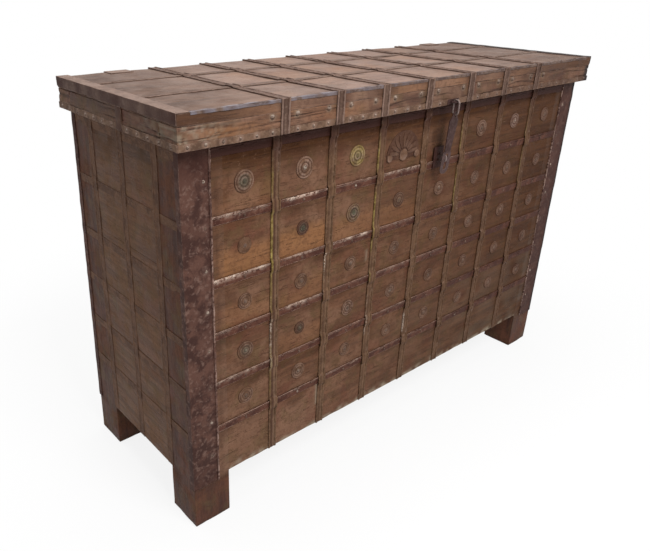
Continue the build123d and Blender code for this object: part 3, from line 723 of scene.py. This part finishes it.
def end_paint(points, normals):
    """The ends have the lid's shadow painted close under it, and are redder beside the posts."""
    beside_post = ramp(np.abs(points[:, 1]) + 0.02 * lumps(points, 0.08, 33), 0.125, 0.035)
    return {"shade": 0.7 * lid_shadow(points), "side": beside_post}


FINE_DENTS = (0.0006, 0.05)
FINE_CHIPS = (0.0010, 0.018)
FINE_WEAR = (FINE_DENTS, FINE_CHIPS)

for number in range(1, FRONT_ROWS + 1):
    grid = (0.006, None, 0.006)
    dress(f"front_board_{number}", front_wood, grid, 0.0012, *FINE_WEAR, front_paint, tight=POST_JOINT)
for side in ("left", "right"):
    for number in (1, 2, 3):
        dress(f"{side}_end_board_{number}", end_wood, (None, 0.010, 0.010), 0.0010, *FINE_WEAR, end_paint)
for number in (1, 2, 3):
    dress(f"back_board_{number}", back_wood, (0.014, None, 0.014), 0.0015, *FINE_WEAR)

nail_centres = {
    node: np.array([middle_of(solid) for solid in solids_of(node)])
    for node in ("body_strap_nails", "lid_nails")
}
IRON_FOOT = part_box("corner_iron_front_left")[0][2]
IRON_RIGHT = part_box("corner_iron_front_right")[1][0]


def corner_paint(points, normals):
    """A corner iron: pale halos round its nails, a rubbed ridge, and black at the front's right edge."""
    x, _, z = points.T
    inner = np.abs(x).min()
    ridge = ramp(np.abs(x), inner + 0.005, -0.005) * patchy(points, (1.0, 1.0, 0.03), 82, 0.7, 0.9)
    halo = ring_stain(points, nail_centres["body_strap_nails"], 0.0055, 0.0020)
    right_front = (x > 0) * (normals[:, 1] < -0.5)
    shades = [
        0.55 * ramp(z, IRON_FOOT + 0.05, -0.05),
        # The lid's shadow, painted near the top of the iron
        0.70 * lid_shadow(points),
        0.75 * hump(np.abs(x), inner + 0.0075, 0.0020),
        (0.50 + 0.45 * ramp(x, IRON_RIGHT - 0.030, 0.025)) * right_front,
    ]
    ragged = 0.009 + 0.005 * lumps(points, (1.0, 1.0, 0.02), 83)
    return {
        "halo": 0.6 * patchy(points, 0.09, 81, 0.35, 1.5) * halo,
        "chip": 0.9 * ridge,
        "edge": np.where(x > 0, 0.35, 1.0) * np.maximum(edginess(normals), 0.12 * ridge),
        "shade": np.max(shades, axis=0),
        "black": 0.9 * ramp(x, IRON_RIGHT - ragged, 0.004) * (normals[:, 1] < -0.3),
    }


def post_paint(points, normals):
    """Above its foot, the front of a post is as worn as the panels beside it."""
    z = points[:, 2]
    on_front = (normals[:, 1] < -0.4) & (points[:, 1] < 0) & (z > IRON_FOOT)
    values = {key: value * on_front for key, value in front_paint(points, normals).items()}
    foot = 0.6 * ramp(z, 0.02, -0.02)
    # Painted shade in a band just below the lower end of the corner iron
    below_iron = 0.5 * hump(z, IRON_FOOT, 0.012)
    values["shade"] = np.max([values["shade"], foot, below_iron], axis=0)
    values["side"] = on_front.astype(float)
    return values


POST_WEAR = ((0.0008, 0.04), (0.0030, 0.018))
CORNER_IRON_WEAR = ((0.0010, 0.022), (0.0010, 0.012))

for corner in ("front_left", "front_right", "back_left", "back_right"):
    grid = (0.010, 0.010, 0.010)
    dress(f"post_{corner}", post_wood, grid, 0.0012, *POST_WEAR, post_paint, tight=POST_JOINT)
    grid = (0.005, None, 0.005)
    dress(f"corner_iron_{corner}", irons["corner_iron"], grid, 0.0008, *CORNER_IRON_WEAR, corner_paint)


# ---------------------------------------------------------------- the body's straps

# How badly the lips of the level straps are chipped, as (strap from the top, column): strength
BADLY_CHIPPED = {
    (2, 1): 0.5, (2, 2): 1.0, (2, 4): 0.5, (3, 1): 1.0,
    (3, 2): 0.5, (3, 3): 0.8, (4, 2): 0.9, (5, 1): 0.4,
}
LEVELS_FROM_TOP = sorted((middle_of(solid)[2] for solid in solids_of("front_level_straps")), reverse=True)


def level_paint(points, normals):
    """A level strap: chips along its lip, fading to dark dashes on the right; the top one, in the lid's
    shadow, is painted all dark.
    """
    z = points[:, 2]
    strap = int(np.argmin([abs(z.mean() - level) for level in LEVELS_FROM_TOP])) + 1
    column = columns_at(points)
    faded = fading(column)
    strength = 0.25 * (1 - 0.8 * faded) * cell_noise(column, strap, 41)
    for (chipped_strap, chipped_column), amount in BADLY_CHIPPED.items():
        if chipped_strap == strap:
            strength = np.where(np.floor(column) == chipped_column - 1, amount, strength)
    # The top strap is painted near black, as the shadow under the lid
    dark = 0.95 if strap == 1 else 0.0
    lip = ramp(z, z.max() - 0.0085, 0.004)
    chip = lip * strength * patchy(points, (0.030, 1.0, 1.0), 43, 0.55, 1.3) * (1 - dark)
    dashes = 0.7 * faded * patchy(points, (0.020, 1.0, 1.0), 45, 0.6, 1.2)
    return {
        "chip": chip,
        "bright": 0.9 * chip * patchy(points, 0.006, 44, 0.0, 3.0),
        "edge": edginess(normals) * (1 - dark) * (1 - 0.7 * faded),
        "shade": np.maximum(dark, dashes),
    }


# Beads that show brass or bare metal, as (strap from the left, low z, high z, strength)
BRASS_BEADS = (
    (1, 0.300, 0.430, 0.30),
    (1, 0.520, 0.920, 0.95),
    (3, 0.500, 0.930, 0.75),
    (5, 0.620, 0.930, 0.45),
    (7, 0.620, 0.930, 0.25),
)
PALE_BEADS = (
    (1, 0.360, 0.430, 0.20),
    (1, 0.430, 0.505, 0.75),
    (2, 0.550, 0.625, 0.85),
    (3, 0.340, 0.460, 0.25),
    (4, 0.290, 0.350, 0.60),
)


def bead_paint(points, normals):
    """An upright strap: a bead on its left, a groove dark with dirt and painted shade, a broader worn bead on
    its right.
    """
    z = points[:, 2]
    column = (points[:, 0] - FIELD_LEFT) / COLUMN_PITCH
    nearest = np.round(column)
    across = (column - nearest) * COLUMN_PITCH
    left_bead = (across < -0.0058) & (normals[:, 0] < 0.5)
    uneven = patchy(points, (1.0, 1.0, 0.030), 51, 0.55, 1.1)
    clear = np.interp(nearest, (1, 2, 5), (1.0, 0.55, 0.20))
    groove = 0.80 * clear * hump(across, -0.0030, 0.0026)
    darker_right = 0.50 * dullness_and_falloff_shade(columns_at(points))
    values = {
        "halo": 0.30 * clear * hump(across, 0.0035, 0.0030) * (0.4 + 0.6 * uneven),
        "shade": np.max([groove, darker_right, 0.8 * lid_shadow(points)], axis=0),
    }
    for key, beads in (("brass", BRASS_BEADS), ("bright", PALE_BEADS)):
        values[key] = np.zeros(len(points))
        for strap, low, high, strength in beads:
            values[key] += strength * uneven * (left_bead & (nearest == strap) & (z > low) & (z < high))
    return values


# The straps of the ends are hammered flatter than the front's
END_RELIEF = 0.28
STRAP_DENTS = (0.0005, 0.025)
STRAP_CHIPS = (0.0012, 0.012)

LEVEL_WEAR = ((0.0005, 0.018), (0.0022, 0.009))
UPRIGHT_WEAR = ((0.0004, 0.03), (0.001, 0.012))
dress("front_level_straps", irons["level_iron"], (0.004, None, 0.006), 0.0009, *LEVEL_WEAR, level_paint)
dress("front_upright_straps", irons["upright_iron"], (0.0022, None, 0.006), 0.0013, *UPRIGHT_WEAR, bead_paint)
for side, face in (("left", 0), ("right", 1)):
    press = (0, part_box(f"{side}_end_board_1")[face][0], END_RELIEF)
    grid = (None, 0.006, 0.006)
    dress(f"{side}_end_straps", irons["end_iron"], grid, 0.0009, STRAP_DENTS, STRAP_CHIPS, press=press)
dress("back_straps", irons["end_iron"], (0.008, None, 0.008), 0.0009, STRAP_DENTS, STRAP_CHIPS)


# ---------------------------------------------------------------- rosettes

# How single rosettes look, as (row, column): (size, relief, brass, green, dark, rubbing)
ROSETTE_LOOKS = {
    (1, 1): (1.10, 0.9, 0.00, 0.65, 0.00, 0.60),
    (1, 2): (1.10, 1.0, 0.00, 0.10, 0.00, 1.00),
    (1, 3): (1.10, 1.0, 0.85, 0.30, 0.10, 0.80),
    (1, 6): (1.00, 0.9, 0.00, 0.10, 0.00, 0.60),
    (1, 7): (0.95, 1.0, 0.00, 0.00, 0.20, 0.95),
    (1, 8): (0.90, 0.7, 0.00, 0.00, 0.00, 0.40),
    (2, 1): (0.80, 0.3, 0.00, 0.00, 0.10, 0.00),
    (2, 2): (0.78, 0.9, 0.00, 0.95, 0.45, 0.10),
    (2, 3): (1.05, 1.0, 0.20, 0.80, 0.20, 0.65),
    (2, 4): (0.90, 0.9, 0.10, 0.10, 0.45, 0.30),
    (4, 1): (1.00, 0.8, 0.00, 0.55, 0.15, 0.50),
    (4, 2): (0.70, 0.9, 0.05, 0.60, 0.50, 0.15),
    (4, 3): (0.95, 0.9, 0.00, 0.10, 0.00, 0.70),
    (5, 1): (0.95, 0.8, 0.00, 0.05, 0.00, 0.60),
    (5, 2): (0.95, 0.8, 0.00, 0.10, 0.00, 0.60),
}
PLAIN_LOOK = (0.85, 0.8, 0.00, 0.06, 0.00, 0.42)
ROSETTE_TURNS = 64
RIM_BEADS = 32
PETALS = 12
# The pressed section of a rosette, as (part of the radius, part of the height)
ROSETTE_SECTION = (
    (0.00, 0.55), (0.16, 0.55), (0.24, 0.85), (0.30, 1.00), (0.36, 0.80),
    (0.42, 0.35), (0.50, 0.50), (0.58, 0.85), (0.66, 0.95), (0.73, 0.60),
    (0.78, 0.30), (0.84, 0.75), (0.90, 0.95), (0.96, 0.65), (1.00, 0.10),
)


def face_axes():
    """The directions across, up and out of the front, which leans back a little."""
    foot, top = front_boards[0][0], front_boards[-1][0]
    lean = top[1] - foot[1]
    rise = top[2] - foot[2]
    up = np.array([0.0, lean, rise]) / math.hypot(lean, rise)
    across = np.array([1.0, 0.0, 0.0])
    return across, up, np.cross(across, up)


def panel_of(centre):
    """The (row, column) of the panel that a point of the front is in, from the top left."""
    row = sum(centre[2] < level for level in LEVELS_FROM_TOP)
    return row, int((centre[0] - FIELD_LEFT) / COLUMN_PITCH) + 1


def pressed_rosette(solid, seed):
    """One pressed rosette: a beaded rim, a ring of petals and a raised middle."""
    points = np.array([vert.co for vert in solid.verts])
    across, up, out = face_axes()
    centre = middle_of(solid)
    depths = (points - centre) @ out
    base = centre + out * depths.min()
    thickness = depths.max() - depths.min()
    size, relief, brass, green, dark, rubbing = ROSETTE_LOOKS.get(panel_of(centre), PLAIN_LOOK)
    radius = size * (points[:, 0].max() - points[:, 0].min()) / 2
    turn = 2 * math.pi * np.arange(ROSETTE_TURNS) / ROSETTE_TURNS
    petals = np.cos(PETALS * turn)
    vertices = []
    heights = []
    for part, height in ROSETTE_SECTION:
        rim = part > 0.8
        petal = 0.42 < part < 0.75
        level = np.clip(height * (1 + rim * 0.22 * np.cos(RIM_BEADS * turn) + petal * 0.18 * petals), 0, 1.1)
        outline = radius * part * (1 + 0.012 * petal * petals)
        raised = 0.75 * thickness * np.minimum(1 - relief + relief * level, 1)
        lift = (part < 1) * (0.25 * thickness + raised)
        ring = base + np.outer(outline * np.cos(turn), across) + np.outer(outline * np.sin(turn), up)
        vertices.append(ring + np.outer(lift, out))
        heights.append(level)
    vertices = np.concatenate(vertices)
    heights = np.concatenate(heights)
    vertices += out * (0.0003 * lumps(vertices, 0.012, seed))[:, None] + sway(vertices)
    faces = []
    for i in range(len(ROSETTE_SECTION) - 1):
        row, next_row = i * ROSETTE_TURNS, (i + 1) * ROSETTE_TURNS
        for j in range(ROSETTE_TURNS):
            k = (j + 1) % ROSETTE_TURNS
            faces.append([row + j, next_row + j, next_row + k, row + k])
    parts = np.repeat([part for part, height in ROSETTE_SECTION], ROSETTE_TURNS)
    raised = ramp(heights, 0.5, 0.5)
    darker_right = 0.45 * dullness_and_falloff_shade(columns_at(vertices))
    # Raised rings are rubbed pale with a painted highlight; the low rings get painted shade, and all grow
    # darker to the right
    values = {
        "edge": 0.12 * rubbing * raised,
        "brass": brass * np.clip(1.6 - parts, 0, 1),
        "green": green * ramp(parts, 0.75, -0.3),
        "halo": rubbing * raised * patchy(vertices, 0.010, seed + 50, 0.6, 1.2),
        "shade": np.clip(dark * (parts > 0.30) + 0.65 * relief * (heights < 0.45) + darker_right, 0, 0.85),
    }
    return vertices, faces, values


rosettes = [pressed_rosette(solid, number) for number, solid in enumerate(solids_of("front_rosettes"))]
finish_piece("front_rosettes_pressed", rosettes, "front_rosettes", irons["sheet_iron"])


def rosette_nail_paint(points, normals):
    """The nail of a rosette takes on its rosette's colour."""
    _, _, brass, green, _, rubbing = ROSETTE_LOOKS.get(panel_of(points.mean(axis=0)), PLAIN_LOOK)
    shade = 0.25 * (rubbing < 0.4)
    return {"brass": 0.6 * brass, "green": green, "shade": shade, "bright": 0.35 * (rubbing > 0.9)}


def strap_nail_paint(points, normals):
    """Some nails of the body's straps are rubbed bright, most are as dark as the strap."""
    rubbed = 0.5 + 0.5 * lumps(points.mean(axis=0, keepdims=True), 0.05, 91)[0]
    if abs(points[:, 0].mean()) > POST_JOINT:
        rubbed += 0.25
    return {"shade": 0.35 * (rubbed < 0.6), "bright": 0.45 * (rubbed > 0.72)}


def palmette_paint(points, normals):
    """The leaves of the palmette are rubbed pale in places, and darker round their feet."""
    out = points[:, 1].max() - points[:, 1]
    raised = ramp(out, 0.5 * out.max(), 0.5 * out.max())
    return {"halo": 0.45 * raised * patchy(points, 0.015, 97, 0.5, 1.0), "shade": 0.6 * (1 - raised)}


grid = (0.004, None, 0.004)
dress("palmette", irons["sheet_iron"], grid, 0.0006, (0.0003, 0.01), (0.0006, 0.008), palmette_paint)
dress("rosette_nails", irons["nail_iron"], paint=rosette_nail_paint)
dress("body_strap_nails", irons["nail_iron"], paint=strap_nail_paint)


# ---------------------------------------------------------------- the lid

RAIL_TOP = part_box("lid_rail_front")[1][2]
# The front left corner of the lid, where it is most worn, and its right edge, which is drawn black
LID_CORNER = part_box("lid_rail_front")[0][:2]
LID_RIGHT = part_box("lid_end_irons")[1][0]
# Cracks along the lid's skirt, as (part of the rail's height, how far it wanders, seed)
CRACKS = ((0.78, 0.10, 61), (0.52, 0.16, 62), (0.30, 0.10, 63))
CRACK_HALF = 0.0022
LID_STRAP_PLACES = np.sort([middle_of(solid)[0] for solid in solids_of("lid_cross_straps")])
LONG_STRAP_PLACES = np.unique([round(middle_of(solid)[1], 3) for solid in solids_of("lid_long_straps")])


def nearest_gap(values, places):
    """The distance from each value to the nearest of some places."""
    return np.abs(values[:, None] - places[None, :]).min(axis=1)


def rightward(points):
    """0 on the left half of the lid and 1 from a little beyond its middle."""
    return ramp(points[:, 0], -0.15, 0.45)


def right_edge(points, width):
    """How black the outermost part of the lid is, towards its right edge."""
    return 0.9 * ramp(points[:, 0], LID_RIGHT - width, 0.5 * width)


def lid_nail_paint(points, normals):
    """The nails of the lid's skirt get a painted highlight on top, the left ones brightest."""
    darker_right = rightward(points)
    return {"bright": 0.45 * (1 - 0.6 * darker_right) * ramp(normals[:, 2], -0.4, 1), "shade": 0.35 * darker_right}


def lid_board_paint(points, normals):
    """The lid's top: warm in the middle of each bay, dark beside the straps and at both ends.

    The edges of the boards have the colour of the skirt below them.
    """
    x = points[:, 0] + 0.12 * lumps(points, 0.12, 96)
    ends = np.maximum(0.72 * ramp(x, 0.20, 0.45), 0.85 * ramp(x, -0.42, -0.25))
    on_top = normals[:, 2] > -0.3
    gap = nearest_gap(points[:, 0], LID_STRAP_PLACES)
    gap = np.minimum(gap, nearest_gap(points[:, 1], LONG_STRAP_PLACES))
    beside = hump(gap, 0, 0.022 + 0.012 * lumps(points, 0.04, 92)) * on_top
    bay = np.searchsorted(LID_STRAP_PLACES, points[:, 0])
    return {
        "side": (np.abs(normals[:, 2]) < 0.55).astype(float),
        "shade": np.maximum(ends * on_top, 0.55 * beside),
        "tone": cell_noise(bay, np.round(points[:, 1].mean() / 0.1), 99) * (1 - beside),
        "glow": 0.40 * patchy(points, 0.09, 94, 0.4, 1.4) * (1 - ends) * (1 - beside),
    }


def rail_paint(points, normals):
    """Cracks that run along a rail, rust round the nails near it, and stains by the worn corner."""
    height = RAIL_TOP - LID_FOOT
    along = points * (1, 1, 0)
    crack = np.zeros(len(points))
    for place, wander, seed in CRACKS:
        middle = LID_FOOT + height * (place + wander * lumps(along, 0.12, seed))
        open_here = patchy(along, 0.09, seed + 10, 0.3, 1.5)
        crack = np.maximum(crack, open_here * ramp(np.abs(points[:, 2] - middle), CRACK_HALF, -CRACK_HALF))
    on_front = normals[:, 1] < -0.5
    to_corner = np.hypot(points[:, 0] - LID_CORNER[0], points[:, 1] - LID_CORNER[1])
    by_corner = np.clip(1.1 - to_corner / 0.15, 0, 1) * patchy(points, 0.006, 98, 0.1, 1.2, 0.5)
    glow = ramp(points[:, 0], 0.15, -0.7) * patchy(points, (0.16, 0.16, 0.03), 71, 0.0, 1.4, 0.7)
    return {
        "crack": crack * (np.abs(normals[:, 2]) < 0.5),
        "stain": 0.35 * ring_stain(points, nail_centres["lid_nails"], 0.006, 0.003) + by_corner,
        "glow": glow * on_front,
        "shade": 0.50 * rightward(points) * patchy(points, 0.05, 73, 0.8, 0.8),
        "black": right_edge(points, 0.032) * on_front,
    }


def strip_paint(points, normals):
    """Rubbed halos round the nails along the lid's lower edge."""
    halo = 0.7 * ring_stain(points, nail_centres["lid_nails"], 0.0055, 0.0025)
    darker_right = rightward(points)
    black = right_edge(points, 0.032) * (normals[:, 1] < -0.5)
    return {"halo": halo * (1 - 0.6 * darker_right), "shade": 0.30 * darker_right, "black": black}


def end_iron_paint(points, normals):
    """The irons on the lid's ends are dark down their sides, and the right one is black at its edge."""
    shade = patchy(points, 0.03, 74, 0.60, 0.35) * (np.abs(normals[:, 0]) > 0.5)
    return {"shade": shade, "black": right_edge(points, 0.050)}


def lid_strap_paint(points, normals):
    """The lid's cross straps: pale beads down the skirt with a painted highlight, painted shade in the
    grooves beside them, darker on top.
    """
    across = nearest_gap(points[:, 0], LID_STRAP_PLACES)
    skirt = np.abs(normals[:, 2]) < 0.5
    bead = 0.70 * (1 - 0.7 * rightward(points)) * hump(across, 0.0095, 0.002)
    return {"halo": bead * skirt, "shade": np.where(skirt, 0.55 * hump(across, 0.0052, 0.0016), 0.25)}


def edge_iron_paint(points, normals):
    """The iron along the lid's front edge is worn to bare blue-grey metal towards the left."""
    return {"halo": 1.6 * ramp(points[:, 0], 0.05, -0.55) * patchy(points, 0.014, 95, 0.45, 1.4)}


dress("lid_nails", irons["nail_iron"], paint=lid_nail_paint)
for name in ("lid_board_front", "lid_board_middle", "lid_board_back"):
    dress(name, lid_wood, (0.012, 0.012, 0.008), 0.002, (0.0009, 0.07), (0.002, 0.02), lid_board_paint)
RAIL_WEAR = ((0.0008, (0.05, 0.05, 0.012)), (0.002, 0.016))
for side, material, grid in (
    ("front", skirt_wood, (0.006, None, 0.0022)),
    ("back", skirt_wood, (0.010, None, 0.006)),
    ("left", skirt_end_wood, (None, 0.006, 0.0022)),
    ("right", skirt_end_wood, (None, 0.008, 0.006)),
):
    dress(f"lid_rail_{side}", material, grid, 0.002, *RAIL_WEAR, rail_paint)
LID_DENTS = (0.0005, 0.02)
EDGE_WEAR = ((0.0008, 0.02), (0.0036, 0.010))
END_WEAR = ((0.0004, 0.02), (0.0010, 0.012))
# The irons of the lid, as (iron, grid, rounding, dents, chips, paint)
LID_IRONS = {
    "lid_cross_straps": ("lid_iron", (0.003, 0.006, 0.006), 0.0010, LID_DENTS, STRAP_CHIPS, lid_strap_paint),
    "lid_long_straps": ("lid_iron", (0.008, None, None), 0.0008, (0.0005, 0.03), STRAP_CHIPS, None),
    "lid_end_irons": ("lid_end_iron", (0.006,) * 3, 0.0007, LID_DENTS, (0.0014, 0.012), end_iron_paint),
    "lid_front_edge_irons": ("edge_iron", (0.003, None, 0.003), 0.0006, *EDGE_WEAR, edge_iron_paint),
    "lid_end_straps": ("skirt_iron", (None, None, 0.006), 0.0007, *END_WEAR, end_iron_paint),
    "lid_lower_strips": ("skirt_iron", (0.005, 0.005, None), 0.0006, LID_DENTS, (0.0016, 0.010), strip_paint),
}
for node, (iron, *wear_and_paint) in LID_IRONS.items():
    dress(node, irons[iron], *wear_and_paint)


# ---------------------------------------------------------------- the hasp, the hinges and the inside

# The top of the hasp's eye
HASP_SLOT_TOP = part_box("hasp")[0][2] + 0.062
# How far the body staple's plate stands out; beyond it is the eye
STAPLE_PLATE = 0.006


def hasp_paint(points, normals):
    """The eye of the hasp is rubbed pale on the edge of its rim."""
    rim = np.clip(4 * edginess(normals), 0, 1)
    return {"halo": ramp(points[:, 2], HASP_SLOT_TOP, -0.01) * (0.08 + 0.80 * rim)}


def link_paint(points, normals):
    """The link is rubbed pale where it swings, with a painted highlight on its upper faces."""
    return {"halo": 0.85, "bright": 0.20 * ramp(normals[:, 2], -0.5, 1)}


def body_staple_paint(points, normals):
    """The eye of the body's staple is rubbed; its plate is painted near black, as shadow."""
    eye = ramp(points[:, 1].max() - points[:, 1], STAPLE_PLATE, 0.002)
    return {"halo": 0.9 * eye, "shade": 0.85 * (1 - eye)}


# The dents of hammered and of drawn iron
HAMMERED = (0.0003, 0.012)
DRAWN = (0.0001, 0.006)
forged = irons["forged_iron"]
dress("hasp", forged, (0.004, None, 0.004), 0.0006, HAMMERED, (0.0005, 0.01), hasp_paint, firm=True)
dress("hasp_link", forged, dents=DRAWN, paint=link_paint, firm=True)
dress("lid_staple", forged, dents=DRAWN, firm=True)
dress("body_staple", forged, dents=DRAWN, paint=body_staple_paint, firm=True)
dress("hinge_body_leaves", forged, firm=True)
dress("hinge_lid_leaves", irons["lid_end_iron"], firm=True)
# The hinge pins keep their plain meshes
for material_slot in frame["nodes"]["hinge_pins"].material_slots:
    material_slot.material = forged

floor_boards = [f"floor_board_{place}" for place in ("front", "middle_front", "middle_back", "back")]
for node in ("lid_battens", "floor_battens", *floor_boards):
    dress(node, inner_wood, (0.020, 0.020, None), 0.0015, (0.0008, 0.06), FINE_CHIPS)


# ---------------------------------------------------------------- floor, light and camera

# How much of the floor's look is plain white near the chest, and between which distances from
# the chest's middle that grows to all of it
FLOOR_WHITENESS = 0.86
FLOOR_FADE = (0.9, 1.7)
FLOOR_HALF = 30.0
FLOOR_GREY = (0.80, 0.80, 0.80)
WHITE = (1.0, 1.0, 1.0)
SKY_STRENGTH = 0.50


def add_floor():
    """A pale floor, seen as white, that keeps the chest's shadow."""
    material = bpy.data.materials.new("floor_paper")
    material.use_nodes = True
    material.node_tree.nodes.clear()
    g = Graph(material.node_tree)
    paper = g.node("BsdfDiffuse", {"Color": FLOOR_GREY})
    glow = g.node("Emission", {"Color": WHITE, "Strength": 1.0})
    place = g.node("NewGeometry").outputs["Position"]
    distance = g.node("VectorMath", {0: place}, operation="LENGTH").outputs["Value"]
    feeds = {"Value": g.step(distance, *FLOOR_FADE), "To Min": FLOOR_WHITENESS, "To Max": 1.0}
    whiteness = g.node("MapRange", feeds).outputs["Result"]
    blend = g.node("MixShader", {0: g.math("MULTIPLY", g.seen(), whiteness)})
    g.feed(blend.inputs[1], paper.outputs[0])
    g.feed(blend.inputs[2], glow.outputs[0])
    g.node("OutputMaterial", {"Surface": blend.outputs[0]})
    mesh = bpy.data.meshes.new("floor")
    corners = [(x * FLOOR_HALF, y * FLOOR_HALF, 0) for x, y in ((-1, -1), (1, -1), (1, 1), (-1, 1))]
    mesh.from_pydata(corners, [], [(0, 1, 2, 3)])
    mesh.materials.append(material)
    floor = bpy.data.objects.new("floor", mesh)
    bpy.context.scene.collection.objects.link(floor)


def add_lamp(name, place, aim, size, power):
    """A square soft lamp that faces a point."""
    light = bpy.data.lights.new(name, "AREA")
    light.size = size
    light.energy = power
    lamp = bpy.data.objects.new(name, light)
    lamp.location = place
    direction = Vector(aim) - Vector(place)
    lamp.rotation_euler = direction.to_track_quat("-Z", "Y").to_euler()
    bpy.context.scene.collection.objects.link(lamp)


def add_world(strength):
    """Plain soft light from all round, seen as white behind the chest."""
    world = bpy.data.worlds.new("studio")
    bpy.context.scene.world = world
    world.use_nodes = True
    world.node_tree.nodes.clear()
    g = Graph(world.node_tree)
    power = g.node("MapRange", {"Value": g.seen(), "To Min": strength, "To Max": 1.0}).outputs["Result"]
    background = g.node("Background", {"Color": WHITE, "Strength": power})
    g.node("OutputWorld", {"Surface": background.outputs[0]})


# Where the viewer stands: in front of the chest and to its left, looking down on the lid
CAMERA_PLACE = (-1.3456, -1.2076, 1.2308)
CAMERA_YAW = math.radians(39.22)
CAMERA_PITCH = math.radians(-25.24)
CAMERA_ROLL = math.radians(0.87)
# The view's size, its focal length and its middle, all in pixels
FRAME_WIDTH = 650
FRAME_HEIGHT = 551
FOCAL_PIXELS = 639.3
CENTRE_X_PIXELS = 258.0
CENTRE_Y_PIXELS = 271.2
# Millimetres
SENSOR_WIDTH = 36.0


def add_camera():
    """The camera, from its place, yaw, pitch and roll."""
    lens = bpy.data.cameras.new("viewer")
    lens.sensor_width = SENSOR_WIDTH
    lens.lens = FOCAL_PIXELS / FRAME_WIDTH * SENSOR_WIDTH
    lens.shift_x = (FRAME_WIDTH / 2 - CENTRE_X_PIXELS) / FRAME_WIDTH
    lens.shift_y = (CENTRE_Y_PIXELS - FRAME_HEIGHT / 2) / FRAME_WIDTH
    camera = bpy.data.objects.new("viewer", lens)
    turn = Matrix.Rotation(-CAMERA_YAW, 4, "Z") @ Matrix.Rotation(math.pi / 2 + CAMERA_PITCH, 4, "X")
    camera.matrix_world = Matrix.Translation(CAMERA_PLACE) @ turn @ Matrix.Rotation(CAMERA_ROLL, 4, "Z")
    bpy.context.scene.collection.objects.link(camera)
    bpy.context.scene.camera = camera


add_floor()
add_world(SKY_STRENGTH)
add_lamp("key_lamp", (-0.4, -2.4, 3.3), (0.0, 0.0, 0.6), 1.6, 115.0)
add_lamp("top_lamp", (-0.3, 0.4, 3.4), (0.0, 0.0, 1.0), 2.0, 55.0)
add_camera()
bpy.context.scene.view_settings.view_transform = "Standard"
